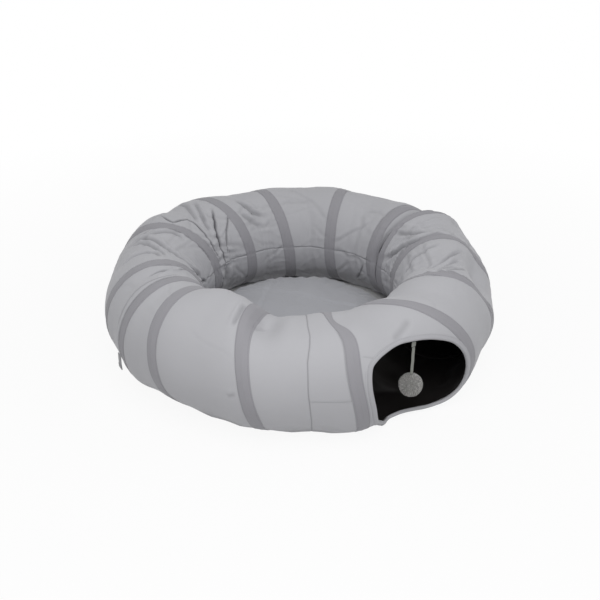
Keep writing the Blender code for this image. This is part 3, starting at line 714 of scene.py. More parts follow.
def dividedCloth(name, spotsAt, size, split):
    # a grid of cells round the tube; the cells in split are divided again, so that creases come out sharp
    rows, columns = split.shape
    parts = cloth["divide"]
    fine = np.kron(split, np.ones((parts, parts), int)).astype(bool)
    used = np.zeros((rows * parts + 1, columns * parts), bool)
    used[::parts, ::parts] = True
    for down in (0, 1):
        used[down:rows * parts + down] |= fine | np.roll(fine, 1, axis=1)
    rowAt, columnAt = np.nonzero(used)
    number = np.full(used.shape, -1)
    number[used] = np.arange(len(rowAt))
    points, keep, shade = spotsAt(rowAt / (rows * parts), columnAt / (columns * parts))
    r, c = np.nonzero(fine)
    quads = [np.stack([r, r + 1, r + 1, r], 1), np.stack([c, c, c + 1, c + 1], 1)]
    r, c = np.nonzero(~split)
    top, left = r * parts, c * parts
    wholeTurn = columns * parts
    beside = (used[top + 1, left] | used[top + 1, (left + parts) % wholeTurn]
              | used[top, left + 1] | used[top + parts, left + 1])
    a, b = top[~beside], left[~beside]
    quads = [np.vstack([quads[0], np.stack([a, a + parts, a + parts, a], 1)]),
             np.vstack([quads[1], np.stack([b, b, b + parts, b + parts], 1)])]
    kept = keep[number[quads[0], quads[1] % wholeTurn]].all(axis=1)
    rowList, columnList = [quads[0][kept].ravel()], [quads[1][kept].ravel()]
    counts = [np.full(kept.sum(), 4)]
    steps = np.arange(parts)
    for a, b in zip(top[beside], left[beside]):
        # a whole cell beside divided ones takes their points into its outline
        aroundRows = np.concatenate([a + steps, np.full(parts, a + parts), a + parts - steps, np.full(parts, a)])
        aroundColumns = np.concatenate([np.full(parts, b), b + steps, np.full(parts, b + parts), b + parts - steps])
        there = number[aroundRows, aroundColumns % wholeTurn]
        there, aroundRows, aroundColumns = (values[there >= 0] for values in (there, aroundRows, aroundColumns))
        if keep[there].all():
            rowList.append(aroundRows)
            columnList.append(aroundColumns)
            counts.append([len(there)])
    allRows, allColumns, counts = np.concatenate(rowList), np.concatenate(columnList), np.concatenate(counts)
    uvs = np.stack([allRows / (rows * parts) * size[0], allColumns / wholeTurn * size[1]], -1)
    starts = np.concatenate([[0], np.cumsum(counts)[:-1]])
    return arrayObject(name, points, number[allRows, allColumns % wholeTurn], starts, uvs, shade)


def gridObject(name, points, u, v, closed=True, keep=None, flipped=False, turned=False, capped=False):
    # a skin over points (rows, columns), whose columns close into a ring, and its rows too if closed;
    # u and v are the cloth map's values down the rows and round the columns, with one more where they close,
    # and turned makes them change places
    rows, columns = points.shape[:2]
    row, column = np.indices((rows if closed else rows - 1, columns)).reshape(2, -1)
    below, after = (row + 1) % rows, (column + 1) % columns
    faces = np.stack([row * columns + column, below * columns + column, below * columns + after,
                      row * columns + after], 1)
    corners = np.stack([np.stack([u[row + down], v[column + across]], -1)
                        for down, across in ((0, 0), (1, 0), (1, 1), (0, 1))], 1)
    if keep is not None:
        whole = keep.ravel()[faces].all(axis=1)
        faces, corners = faces[whole], corners[whole]
    if flipped:
        faces, corners = faces[:, [0, 3, 2, 1]], corners[:, [0, 3, 2, 1]]
    if turned:
        corners = corners[..., ::-1]
    faces, corners = faces.tolist(), corners.reshape(-1, 2).tolist()
    if capped:
        faces += [list(range(columns))[::-1], [(rows - 1) * columns + k for k in range(columns)]]
        corners += [(0, 0)] * (2 * columns)
    obj = meshObject(name, points.reshape(-1, 3), faces, corners)
    if keep is not None:
        editMesh(obj, lambda shape: bmesh.ops.delete(
            shape, geom=[vert for vert in shape.verts if not vert.link_faces], context="VERTS"))
    return obj


def editMesh(obj, change):
    shape = bmesh.new()
    shape.from_mesh(obj.data)
    change(shape)
    shape.to_mesh(obj.data)
    shape.free()


def finishSheet(obj, finish, node, slot, width, thickness, tapes):
    # a sewn strip of cloth with a wall of its thickness and its finish; its area is clamped to the shares of its flat
    # rectangle that the frame takes, but nothing uses it
    flat = (round(width, 3), round(girth, 3))
    area = sum(face.area for face in obj.data.polygons)
    least, most = (share * flat[0] * flat[1] for share in cloth["areaShare"])
    area = min(max(area, least), most)
    wall = obj.modifiers.new("wall", "SOLIDIFY")
    wall.thickness, wall.offset = thickness, -1.0
    finishObject(obj, finish, "tunnel", node, slot=slot)
    [tapeNames[k % hoopCount] for k in tapes]


# the two entrances
# ends are the hoops beside an opening as the solids have them, because its edge keeps the solids' outline
mouths = {
    0: {"name": "front", "share": 1.0, "mirrored": False, "ends": ((-20.3, 0.3, -3.8), (7.2, 11.0, -5.0))},
    7: {"name": "back", "share": 0.86, "mirrored": True, "ends": ((158.0, 5.0, 5.0), (183.6, 4.3, 4.7))},
}
mouthEdge = {
    "height": 2 * 0.129 * 0.7016, "middle": 0.1295, "stations": 180,
    # share of the way across the panel, share of half the height
    "outline": (
        (0.096, 0.20), (0.138, 0.62), (0.210, 0.80), (0.330, 0.93), (0.455, 1.00), (0.560, 0.99), (0.664, 0.94),
        (0.756, 0.84), (0.843, 0.66), (0.884, 0.42), (0.905, 0.10), (0.913, -0.28), (0.908, -0.60), (0.880, -0.86),
        (0.815, -1.05), (0.700, -1.16), (0.560, -1.20), (0.400, -1.21), (0.260, -1.19), (0.155, -1.08),
        (0.108, -0.80), (0.094, -0.40)),
    # reach from the edge onto the cloth and height above it, in mm: an edge folded over cloth and lining
    "section": ((9.0, 0.15), (8.8, 0.8), (7.5, 1.25), (3.0, 1.45), (0.4, 1.5), (-1.0, 1.1), (-1.9, 0.1), (-2.3, -1.6),
                (-2.3, -3.9), (-1.7, -5.4), (-0.6, -6.2), (2.0, -6.4), (8.0, -6.3), (8.0, -5.5), (1.0, -5.3),
                (-0.9, -4.4), (-1.3, -2.2), (-0.9, -0.3), (0.4, 0.35)),
    "stitchReach": 0.0068, "stitchHeight": 0.00125, "stitchPitch": 0.0042, "seamReach": 0.0125, "seamLength": 0.036,
    "cellAcross": 0.0015, "cellAlong": 0.0035, "margin": 0.0005, "fineInside": 0.008, "fineOutside": 0.011,
}


def smoothLoop(points, count):
    spots = np.array(points, float)
    fine = []
    for k in range(len(spots)):
        a, b, c, d = (spots[(k + step) % len(spots)] for step in (-1, 0, 1, 2))
        for t in np.arange(12) / 12:
            fine.append(b + ((c - a) * t + (2 * a - 5 * b + 4 * c - d) * t**2 + (3 * b - a - 3 * c + d) * t**3) / 2)
    fine = np.array(fine)
    fine = np.vstack([fine, fine[:1]])
    lengths = runningLength(fine)
    wanted = np.linspace(0, lengths[-1], count, endpoint=False)
    return np.stack([np.interp(wanted, lengths, fine[:, k]) for k in (0, 1)], -1)


def mouthOutline(index, count):
    # the edge's (ring, tube) angles
    facts = mouths[index]
    place, lead, lean = np.radians(facts["ends"]).T
    width = (place + lead) @ (-1, 1) * (tube["ringRadius"] + tube["halfWidth"])
    flat = []
    for across, up in mouthEdge["outline"]:
        across = 0.5 + (across - 0.5) * facts["share"]
        across = 1 - across if facts["mirrored"] else across
        flat.append((across * width, up * mouthEdge["height"] / 2))
    loop = smoothLoop(flat, count)
    phi = np.arcsin((mouthEdge["middle"] + loop[:, 1] - tube["centre"]) / tube["halfHeight"])
    first, last = (place[k] + lead[k] * np.cos(phi) + lean[k] * np.sin(phi) for k in (0, 1))
    theta = first + (last - first) * loop[:, 0] / width
    if facts["mirrored"]:
        theta, phi = theta[::-1], phi[::-1]
    return theta, phi


def outsideMouth(index, theta, phi, margin):
    # which points of a panel lie outside its opening, by more than margin
    edgeTheta, edgePhi = mouthOutline(index, mouthEdge["stations"])
    centre = (edgeTheta.mean(), edgePhi.mean())
    scaleTheta, scalePhi = tube["ringRadius"] + tube["halfWidth"], tube["halfHeight"]
    edge = np.stack([(edgeTheta - centre[0]) * scaleTheta, (edgePhi - centre[1]) * scalePhi], -1)
    angles = np.arctan2(edge[:, 1], edge[:, 0])
    order = np.argsort(angles)
    reach = np.hypot(edge[:, 0], edge[:, 1])[order]
    angles = angles[order]
    x = (theta - centre[0]) * scaleTheta
    y = (wrapped(phi) - centre[1]) * scalePhi
    limit = np.interp(np.arctan2(y, x), angles, reach, period=2 * pi)
    return (np.hypot(x, y) > limit + margin) | (np.cos(phi) < 0.05)


def stepsAlong(index, cell):
    phi = np.array([0.0, pi / 2])
    width = np.max((hoopAngle(index + 1, phi) - hoopAngle(index, phi)) * ringRadiusAt(phi))
    return max(4, int(width / cell))


girth = pi * (3 * (tube["halfWidth"] + tube["halfHeight"])
              - sqrt((3 * tube["halfWidth"] + tube["halfHeight"]) * (tube["halfWidth"] + 3 * tube["halfHeight"])))
tapeNames = [f"hoop_casing_{k + 1:02d}" for k in range(hoopCount)]


def makePanel(index):
    columns = int(girth / cloth["cell"])
    rows = stepsAlong(index, cloth["cell"])
    hasMouth = index in mouths

    def anglesAt(share, turn):
        phi = turn * 2 * pi - pi / 2
        first, last = (hoopAngle(index + end, phi) + (1 - 2 * end) * (
            tape["half"] * tapeShare(hoops[(index + end) % hoopCount], phi) - tape["tuck"]) / ringRadiusAt(phi)
            for end in (0, 1))
        return first + (last - first) * share, phi

    def spotsAt(share, turn):
        theta, phi = anglesAt(share, turn)
        out, sag, shade = relief(theta, phi)
        keep = outsideMouth(index, theta, phi, mouthEdge["margin"]) if hasMouth else np.ones(len(phi), bool)
        return skin(theta, phi, 0.0, out, sag), keep, shade

    across, turn = np.meshgrid((np.arange(rows) + 0.5) / rows, (np.arange(columns) + 0.5) / columns, indexing="ij")
    theta, phi = anglesAt(across.ravel(), turn.ravel())
    split = np.zeros(len(phi), bool)
    for fold in foldsNear(theta, cloth["sharpReach"]):
        if fold["kind"] != "soft":
            near, distance, *_ = lineField(theta, phi, fold, cloth["sharpReach"])
            split[near] |= distance < cloth["fineWidths"] * fold["width"] + cloth["fineMargin"]
    for panel, atEnd, *_ in edgeLines:
        if panel == index:
            split |= (1 - across.ravel() if atEnd else across.ravel()) < cloth["fineCells"] / rows
    if hasMouth:
        split |= (outsideMouth(index, theta, phi, -mouthEdge["fineInside"])
                  & ~outsideMouth(index, theta, phi, mouthEdge["fineOutside"]))
    ends = np.array([anglesAt(np.full(columns, share), np.arange(columns) / columns)[0] for share in (0.0, 1.0)])
    width = float(((ends[1] - ends[0]) * ringRadiusAt(np.arange(columns) / columns * 2 * pi - pi / 2)).max())
    obj = dividedCloth(f"panel_cloth_{index + 1:02d}", spotsAt, (width, girth), split.reshape(across.shape))
    finishSheet(obj, "panel", f"panel_{index + 1:02d}", "panel_cloth", width, cloth["thickness"], (index, index + 1))


def roundBand(name, index, section, columns, wander=0.0):
    # a closed band round the tube at one hoop, from points across it and above the cloth
    phi = np.arange(columns) * 2 * pi / columns - pi / 2
    centre = hoopAngle(index, phi)
    centre = centre + wander * rollingNoise(np.cos(phi) * 2.3 + index, np.sin(phi) * 2.3, 41) / ringRadiusAt(phi)
    wider = 1 + 40 * wander * rollingNoise(np.cos(phi) * 3.1, np.sin(phi) * 3.1 + index, 42)
    wider = wider * tapeShare(hoops[index], phi)
    points = np.array([clothSkin(centre + across * wider / ringRadiusAt(phi), phi, height)
                       for across, height in section])
    u = np.append(np.array(section)[:, 0], section[0][0])
    return gridObject(name, points, u, np.arange(columns + 1) * girth / columns)


def makeTape(index):
    obj = roundBand(f"hoop_tape_{index + 1:02d}", index, np.array(tape["section"]) / 1000, tape["columns"],
                   tape["wander"])
    finishObject(obj, "tape", "tunnel", tapeNames[index], slot="casing_tape", sharpAngle=40)


def makeWire(index):
    turns = -2 * pi * np.arange(wire["sides"]) / wire["sides"]
    section = np.stack([wire["radius"] * np.cos(turns), wire["radius"] * np.sin(turns) - wire["depth"]], -1)
    obj = roundBand(f"spring_hoop_{index + 1:02d}", index, section, tape["columns"])
    finishObject(obj, "steel", "tunnel", f"wire_hoop_{index + 1:02d}", slot="spring_wire")


stitch = {"length": 0.0029, "width": 0.0007, "rise": 0.0004, "seamLength": 0.0026, "seamWidth": 0.0006,
          "seamPitch": 0.0034, "seamHeight": 0.0002, "tapeHeight": 0.0009}


def stitchRow(name, theta, phi, height, pitch, finish, slot, length=stitch["length"], width=stitch["width"],
              closed=False):
    # short raised stitches on the cloth along a line of angles
    theta, phi = np.asarray(theta, float), np.asarray(phi, float)
    rough = skin(theta, phi, 0.0)
    if closed:
        rough = np.vstack([rough, rough[:1]])
        theta = np.append(theta, theta[0])
        phi = np.append(phi, phi[0] + 2 * pi * round((phi[-1] - phi[0]) / (2 * pi)))
    lengths = runningLength(rough)
    count = int(lengths[-1] / pitch)
    middle = (np.arange(count) + 0.5) * lengths[-1] / count
    ends = []
    for shift in (-length / 2, 0.0, length / 2):
        at = middle + shift
        t, p = np.interp(at, lengths, theta), np.interp(at, lengths, phi)
        out, sag, _ = relief(t, p)
        ends.append((skin(t, p, height, out, sag), skin(t, p, height + stitch["rise"], out, sag)))
    lowA, centre, lowB = ends[0][0], ends[1], ends[2][0]
    up = unit(centre[1] - centre[0])
    beside = np.cross(unit(lowB - lowA), up) * width / 2
    points = np.stack([lowA, centre[0] + beside, centre[1], centre[0] - beside, lowB,
                       centre[0] - up * stitch["rise"]], 1).reshape(-1, 3)
    faces = []
    for k in range(count):
        a, b, c, d, e, f = range(6 * k, 6 * k + 6)
        faces += [(a, b, c), (a, c, d), (e, c, b), (e, d, c), (a, f, b), (a, d, f), (e, b, f), (e, f, d)]
    obj = meshObject(name, points, faces)
    finishObject(obj, finish, "tunnel", slot=slot, smooth=False)


def tapeStitches(index):
    phi = np.linspace(-pi / 2, 3 * pi / 2, 120)
    for side, mark in ((-1, "a"), (1, "b")):
        theta = hoopAngle(index, phi) + side * tape["stitchAcross"] * tapeShare(hoops[index], phi) / ringRadiusAt(phi)
        stitchRow(f"tape_stitch_{index + 1:02d}{mark}", theta, phi, stitch["tapeHeight"], tape["stitchPitch"],
                  "darkThread", "casing_tape")


def mouthFrame(index, count):
    # at each station of the edge: its angles, and how the angles change over a metre away from the opening
    theta, phi = mouthOutline(index, count)
    spots = skin(theta, phi, 0.0)
    along = unit(np.roll(spots, -1, 0) - np.roll(spots, 1, 0))
    roundRing = np.stack([np.cos(theta), np.sin(theta), np.zeros(count)], -1)
    small = 1e-4
    roundTube = (skin(theta, phi + small, 0.0) - spots) / small
    away = unit(np.cross(along, np.cross(roundRing, roundTube)))
    if ((spots - spots.mean(0)) * away).sum() < 0:
        away = -away
    thetaStep = (away * roundRing).sum(1) / ringRadiusAt(phi)
    phiStep = (away * roundTube).sum(1) / (roundTube * roundTube).sum(1)
    return theta, phi, thetaStep, phiStep


def makeHem(index):
    count = mouthEdge["stations"]
    theta, phi, thetaStep, phiStep = mouthFrame(index, count)
    points = np.array([clothSkin(theta + thetaStep * reach, phi + phiStep * reach, height)
                       for reach, height in np.array(mouthEdge["section"]) / 1000])
    facts = mouths[index]
    obj = gridObject(f"mouth_hem_{facts['name']}", points, np.arange(len(points) + 1) * mouthEdge["cellAcross"],
                     np.arange(count + 1) * mouthEdge["cellAlong"], flipped=True)
    editMesh(obj, lambda shape: bmesh.ops.recalc_face_normals(shape, faces=shape.faces))
    finishObject(obj, "hem", "tunnel", f"entrance_hem_{facts['name']}", slot="hem_binding")
    stitchRow(f"hem_stitch_{facts['name']}", theta + thetaStep * mouthEdge["stitchReach"],
              phi + phiStep * mouthEdge["stitchReach"], mouthEdge["stitchHeight"], mouthEdge["stitchPitch"], "thread",
              "hem_binding", closed=True)
    # a short seam where the edge runs beside its tape
    beside = np.abs(theta - hoopAngle(index + facts["mirrored"], phi)) * ringRadiusAt(phi) < mouthEdge["seamLength"]
    order = np.nonzero(beside)[0]
    gap = np.nonzero(np.diff(order) > 1)[0]
    if len(gap):
        order = np.roll(order, -gap[0] - 1)
    reach = mouthEdge["seamReach"]
    stitchRow(f"hem_seam_{facts['name']}", (theta + thetaStep * reach)[order], (phi + phiStep * reach)[order], 0.0,
              mouthEdge["stitchPitch"], "thread", "hem_binding")


lining = {"cell": 0.008, "atHoop": 0.0090, "between": 0.0110, "atMouth": 0.0040,
          "thickness": 0.0008, "wrinkle": 0.55}


def makeLining(first):
    # one length of lining spans two panels
    rows, keeps = [], []
    columns = int(girth / lining["cell"])
    phi = np.arange(columns) * 2 * pi / columns - pi / 2
    for index in (first, first + 1):
        count = stepsAlong(index, lining["cell"])
        depth = lining["atMouth"] if index in mouths else lining["between"]
        for step in range(count + (index == first + 1)):
            share = step / count
            start, end = hoopAngle(index, phi), hoopAngle(index + 1, phi)
            theta = start + (end - start) * share
            nearHoop = max(0.0, 1 - 6 * min(share, 1 - share))
            rows.append(clothSkin(theta, phi, -(depth + (lining["atHoop"] - depth) * nearHoop), lining["wrinkle"]))
            keeps.append(outsideMouth(index, theta, phi, mouthEdge["margin"]) if index in mouths
                         else np.ones(columns, bool))
    number = first // 2 + 1
    hasMouth = first in mouths or first + 1 in mouths
    obj = gridObject(f"lining_cloth_{number}", np.array(rows), np.arange(len(rows)) * lining["cell"],
                     np.arange(columns + 1) * girth / columns, closed=False,
                     keep=np.array(keeps) if hasMouth else None)
    width = float(np.max((hoopAngle(first + 2, phi) - hoopAngle(first, phi)) * ringRadiusAt(phi)))
    finishSheet(obj, "lining", f"lining_{number}", "lining_cloth", width, lining["thickness"],
                range(first, first + 3))


for index in range(hoopCount):
    makePanel(index)
print("panels made")
for index in range(hoopCount):
    makeTape(index)
    makeWire(index)
    tapeStitches(index)
print("tapes made")
for index in mouths:
    makeHem(index)
for first in range(0, hoopCount, 2):
    makeLining(first)
print("hems and lining made")


def makeSeams():
    for name, (_, _, line) in seams.items():
        spots = np.radians(np.array(line, float))
        fine = np.linspace(0, len(spots) - 1, 80)
        theta, phi = (np.interp(fine, np.arange(len(spots)), angles) for angles in spots.T)
        stitchRow(f"seam_stitch_{name}", theta, phi, stitch["seamHeight"], stitch["seamPitch"], "darkThread",
                  "panel_cloth", stitch["seamLength"], stitch["seamWidth"])


makeSeams()


# bed cushion: a crowned round pad, puffed up by a short cloth simulation
cushion = {
    "radius": 0.2245, "seamHeight": 0.036, "edge": 0.024, "crown": 0.0735, "shoulder": 0.064, "base": 0.190,
    "voxel": 0.0055, "frames": 20, "cap": 0.008, "fill": 0.7,
    "simulation": {"quality": 5, "mass": 0.3, "tension_stiffness": 12, "compression_stiffness": 12,
                   "shear_stiffness": 4, "bending_stiffness": 0.4, "use_pressure": True,
                   "uniform_pressure_force": 4.0},
    # what the slack top does, in metres, and its two long creases: heading, distance from the middle and depth
    "hollow": 0.007, "roll": 0.0035, "ripple": 0.0012, "gather": 0.0014, "groove": 0.0035,
    "creases": ((0.55, 0.06, 0.0030), (2.35, 0.10, 0.0022)),
    "pipe": 0.0022, "pipeInset": 0.0015, "pipeStations": 160, "pipeSides": 8, "pipeMap": (0.0088, 0.0017),
}


def cushionProfile():
    top = cushion["crown"]
    flat = cushion["radius"] - cushion["edge"]
    shoulder, seam = cushion["shoulder"], cushion["seamHeight"]
    line = [(flat * share, top - (top - shoulder) * share**2) for share in np.linspace(0, 1, 14)]
    for turn in np.linspace(0, pi / 2, 9)[1:]:
        line.append((flat + cushion["edge"] * sin(turn), seam + (shoulder - seam) * cos(turn)))
    for turn in np.linspace(0, pi / 2, 9)[1:]:
        line.append((cushion["base"] + (cushion["radius"] - cushion["base"]) * cos(turn), seam * (1 - sin(turn))))
    line += [(cushion["base"] * share, 0.0) for share in np.linspace(1, 0, 10)[1:]]
    return line


def turnedObject(name, profile, count=96):
    points, faces = [], []
    inner = [spot for spot in profile if spot[0] > 1e-6]
    for x, z in inner:
        for k in range(count):
            points.append((x * cos(2 * pi * k / count), x * sin(2 * pi * k / count), z))
    for row in range(len(inner) - 1):
        for k in range(count):
            after = (k + 1) % count
            faces.append((row * count + k, (row + 1) * count + k, (row + 1) * count + after, row * count + after))
    points += [(0, 0, profile[0][1]), (0, 0, profile[-1][1])]
    last = (len(inner) - 1) * count
    for k in range(count):
        after = (k + 1) % count
        faces.append((len(points) - 2, k, after))
        faces.append((len(points) - 1, last + after, last + k))
    return meshObject(name, points, faces)


def applyModifiers(obj):
    dg = bpy.context.evaluated_depsgraph_get()
    data = bpy.data.meshes.new_from_object(obj.evaluated_get(dg))
    obj.modifiers.clear()
    old = obj.data
    obj.data = data
    bpy.data.meshes.remove(old)


def coordinates(data):
    flat = np.empty(len(data.vertices) * 3)
    data.vertices.foreach_get("co", flat)
    return flat.reshape(-1, 3)


def puff(obj):
    # cloth with pressure and no gravity; what moves further than the cap is held back
    start = coordinates(obj.data)
    pin = obj.vertex_groups.new(name="pin")
    atSeam = np.abs(np.hypot(start[:, 0], start[:, 1]) - cushion["radius"]) < 0.004
    held = np.nonzero((start[:, 2] < 0.002) | atSeam)[0].tolist()
    pin.add(held, 1.0, "REPLACE")
    soft = obj.modifiers.new("cloth", "CLOTH")
    soft.settings.vertex_group_mass = "pin"
    for setting, value in cushion["simulation"].items():
        setattr(soft.settings, setting, value)
    soft.settings.effector_weights.gravity = 0
    soft.collision_settings.use_collision = False
    for number in range(1, cushion["frames"] + 1):
        bpy.context.scene.frame_set(number)
    dg = bpy.context.evaluated_depsgraph_get()
    end = coordinates(obj.evaluated_get(dg).data)
    obj.modifiers.remove(soft)
    bpy.context.scene.frame_set(1)
    move = end - start
    far = np.linalg.norm(move, axis=1)
    move *= np.minimum(1, cushion["cap"] / np.maximum(far, 1e-9))[:, None]
    print("cushion moved by up to", round(float(far.max()) * 1000, 1), "mm")
    return start + move


def makeCushion():
    obj = turnedObject("bed_cushion", cushionProfile())
    remesh = obj.modifiers.new("remesh", "REMESH")
    remesh.mode, remesh.voxel_size = "VOXEL", cushion["voxel"]
    applyModifiers(obj)
    spots = puff(obj)
    radius = np.hypot(spots[:, 0], spots[:, 1])
    turn = np.arctan2(spots[:, 1], spots[:, 0])
    onTop = smoothStep((spots[:, 2] - cushion["seamHeight"]) / 0.02)
    # slack cloth: a shallow hollow where a cat lies, soft rolls, and gathers that run in from the seam
    hollow = -cushion["hollow"] * np.exp(-((spots[:, 0] + 0.02) ** 2 + (spots[:, 1] + 0.03) ** 2) / 0.075**2)
    rolls = cushion["roll"] * rollingNoise(spots[:, 0] * 16 + 4, spots[:, 1] * 16, 21)
    rolls = rolls + cushion["ripple"] * rollingNoise(spots[:, 0] * 52, spots[:, 1] * 44, 22)
    gathers = cushion["gather"] * np.cos(46 * turn + 2 * rollingNoise(turn * 3, radius * 9, 23))
    gathers = gathers * np.exp(-((radius - cushion["radius"]) / 0.028) ** 2)
    spots[:, 2] += onTop * (hollow + rolls + gathers)
    for angle, shift, depth in cushion["creases"]:
        away = spots[:, 0] * cos(angle) + spots[:, 1] * sin(angle) - shift
        away = away + 0.012 * rollingNoise(spots[:, 0] * 9, spots[:, 1] * 9, 24)
        spots[:, 2] -= onTop * depth * (np.exp(-(away / 0.004) ** 2) - 0.45 * np.exp(-((away - 0.011) / 0.009) ** 2))
    groove = np.exp(-((spots[:, 2] - cushion["seamHeight"]) / 0.0045) ** 2) * (radius > cushion["base"])
    spots[:, :2] *= (1 - cushion["groove"] * groove / np.maximum(radius, 0.05))[:, None]
    limit = np.minimum(1, (cushion["radius"] + 0.002) / np.maximum(np.hypot(spots[:, 0], spots[:, 1]), 1e-6))
    spots[:, :2] *= limit[:, None]
    spots[:, 2] = np.maximum(spots[:, 2], 0.0004)
    obj.data.vertices.foreach_set("co", spots.ravel())
    layer = obj.data.uv_layers.new(name="cloth")
    places = np.empty(len(obj.data.loops), int)
    obj.data.loops.foreach_get("vertex_index", places)
    layer.data.foreach_set("uv", spots[places][:, :2].astype(np.float32).ravel())
    finer = obj.modifiers.new("finer", "SUBSURF")
    finer.levels = finer.render_levels = 1
    finishObject(obj, "cushion", "bed_cushion", "cushion_top_cover", "cushion_base_cover", "cushion_filling",
                 slot="cushion_cloth")
    # the sewn edge: a thin welt round the side
    turns = np.arange(cushion["pipeStations"]) * 2 * pi / cushion["pipeStations"]
    wobble = 0.0006 * np.cos(turns * 23) + 0.0005 * np.cos(turns * 9 + 1)
    outwards = np.stack([np.cos(turns), np.sin(turns), 0 * turns], -1)
    ring = outwards * (cushion["radius"] - cushion["pipeInset"])
    ring[:, 2] = cushion["seamHeight"] + wobble
    angles = np.arange(cushion["pipeSides"])[:, None] * 2 * pi / cushion["pipeSides"]
    points = ring[:, None] + cushion["pipe"] * (np.cos(angles) * outwards[:, None] + np.sin(angles) * (0, 0, 1))
    u, v = (np.arange(count + 1) * cell for count, cell in zip(points.shape, cushion["pipeMap"]))
    welt = gridObject("cushion_welt", points, u, v, turned=True)
    finishObject(welt, "cushion", "bed_cushion", slot="cushion_cloth")


makeCushion()
print("cushion made")


# the hanging toy
boxes = {node: np.array(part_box(node)) for node in ("toy_ball", "toy_elastic", "toy_tab", "tie_strap")}
ballCentre = boxes["toy_ball"].mean(0)
toy = {
    "centre": ballCentre, "ringAngle": atan2(ballCentre[0], -ballCentre[1]),
    "coreRadius": 0.0215, "fibreTip": 0.0257, "fibres": 3400, "fibreWidth": 0.00085,
    # each fibre's rings: share of its length, and width against fibreWidth
    "fibreRings": ((0.80, 0.9), (0.92, 1.15), (0.985, 0.8)),
    "coreRough": 0.05, "coreTint": 0.2, "fibreTilt": 0.035, "fibreBend": 0.0016, "tipWave": 0.022,
    "tipShare": (0.955, 1.012), "tints": (0.48, 0.2), "paleShare": 0.07, "paleTint": 0.97,
    "elasticWidth": 0.0076, "elasticThickness": 0.0011, "elasticPoints": 18,
    "tabWidth": 0.0100, "tabThickness": 0.0006, "tabGap": 0.00042,
    "tabStitches": 5, "tabStitchPitch": 0.0018, "tabStitchLength": 0.0006,
}


def ringAxes(angle):
    # along the ring and out of it, as level directions
    return np.array([cos(angle), sin(angle), 0.0]), np.array([sin(angle), -cos(angle), 0.0])


def tintPoints(data, values):
    data.attributes.new("tint", "FLOAT", "POINT").data.foreach_set("value", np.asarray(values, np.float32))


def makeBall():
    dice = np.random.default_rng(5)
    shape = bmesh.new()
    bmesh.ops.create_icosphere(shape, subdivisions=4, radius=toy["coreRadius"])
    for vert in shape.verts:
        x, y, z = vert.co
        lump = rollingNoise(np.array([x * 300 + z * 170]), np.array([y * 300 - z * 90]), 31)
        vert.co *= 1 + toy["coreRough"] * float(lump[0])
        vert.co += Vector(toy["centre"])
    data = bpy.data.meshes.new("yarn_ball_core")
    shape.to_mesh(data)
    shape.free()
    tintPoints(data, np.full(len(data.vertices), toy["coreTint"]))
    finishObject(placed("yarn_ball_core", data), "yarn", "toy_ball", slot="yarn")
    count = toy["fibres"]
    step = np.arange(count) + 0.5
    polar, around = np.arccos(1 - 2 * step / count), pi * (1 + sqrt(5)) * step
    heading = np.stack([np.sin(polar) * np.cos(around), np.sin(polar) * np.sin(around), np.cos(polar)], -1)
    heading = unit(heading + dice.normal(0, toy["fibreTilt"], heading.shape))
    side = unit(np.cross(heading, dice.normal(0, 1, heading.shape)))
    other = np.cross(heading, side)
    x, y, z = heading.T
    tips = toy["fibreTip"] * (1 + toy["tipWave"] * rollingNoise(x * 2.2 + 3, y * 2.2 + z * 1.7, 33))
    tips *= dice.uniform(*toy["tipShare"], count)
    bend = dice.normal(0, toy["fibreBend"], (count, 2))
    points, faces, tints = [], [], []
    shades = np.clip(dice.normal(*toy["tints"], count), 0, 1)
    shades[dice.random(count) < toy["paleShare"]] = toy["paleTint"]
    for k in range(count):
        base = len(points)
        for ring, (share, size) in enumerate(toy["fibreRings"]):
            spot = heading[k] * tips[k] * share + (side[k] * bend[k, 0] + other[k] * bend[k, 1]) * ((share - 0.8) / 0.2)
            for corner in range(4):
                angle = pi / 2 * corner + ring * 0.35
                points.append(toy["centre"] + spot
                              + (side[k] * cos(angle) + other[k] * sin(angle)) * toy["fibreWidth"] / 2 * size)
        points.append(toy["centre"] + heading[k] * tips[k] + side[k] * bend[k, 0] + other[k] * bend[k, 1])
        faces.append((base + 3, base + 2, base + 1, base))
        for ring in (0, 1):
            low, high = base + 4 * ring, base + 4 * ring + 4
            for corner in range(4):
                after = (corner + 1) % 4
                faces.append((low + corner, low + after, high + after, high + corner))
        for corner in range(4):
            faces.append((base + 8 + corner, base + 8 + (corner + 1) % 4, base + 12))
        tints += [shades[k]] * 13
    fibres = meshObject("yarn_ball_fibres", points, faces)
    tintPoints(fibres.data, tints)
    finishObject(fibres, "yarn", "toy_ball", "toy_ball", slot="yarn")


def ribbon(name, path, across, thickness, finish, slot, body, nodes=(), crown=0.25):
    # a flat band along a path; across is half its width as a vector
    path = np.array(path, float)
    half = np.linalg.norm(across)
    across = np.array(across) / half
    normal = unit(np.cross(across, unit(np.gradient(path, axis=0))))
    section = np.array([(-1, 0.0), (-0.94, 0.72), (-0.6, 1.0), (0, 1.0 + crown * 0.2), (0.6, 1.0), (0.94, 0.72),
                        (1, 0.0), (0.94, -0.72), (0.6, -1.0), (0, -1.0), (-0.6, -1.0), (-0.94, -0.72)])
    points = np.array([[spot + across * x * half + up * y * thickness / 2 for x, y in section]
                       for spot, up in zip(path, normal)])
    obj = gridObject(name, points, runningLength(path), np.append(section[:, 0], section[0, 0]) * half, closed=False,
                     flipped=True, turned=True, capped=True)
    finishObject(obj, finish, body, *nodes, slot=slot, sharpAngle=60)
    return obj


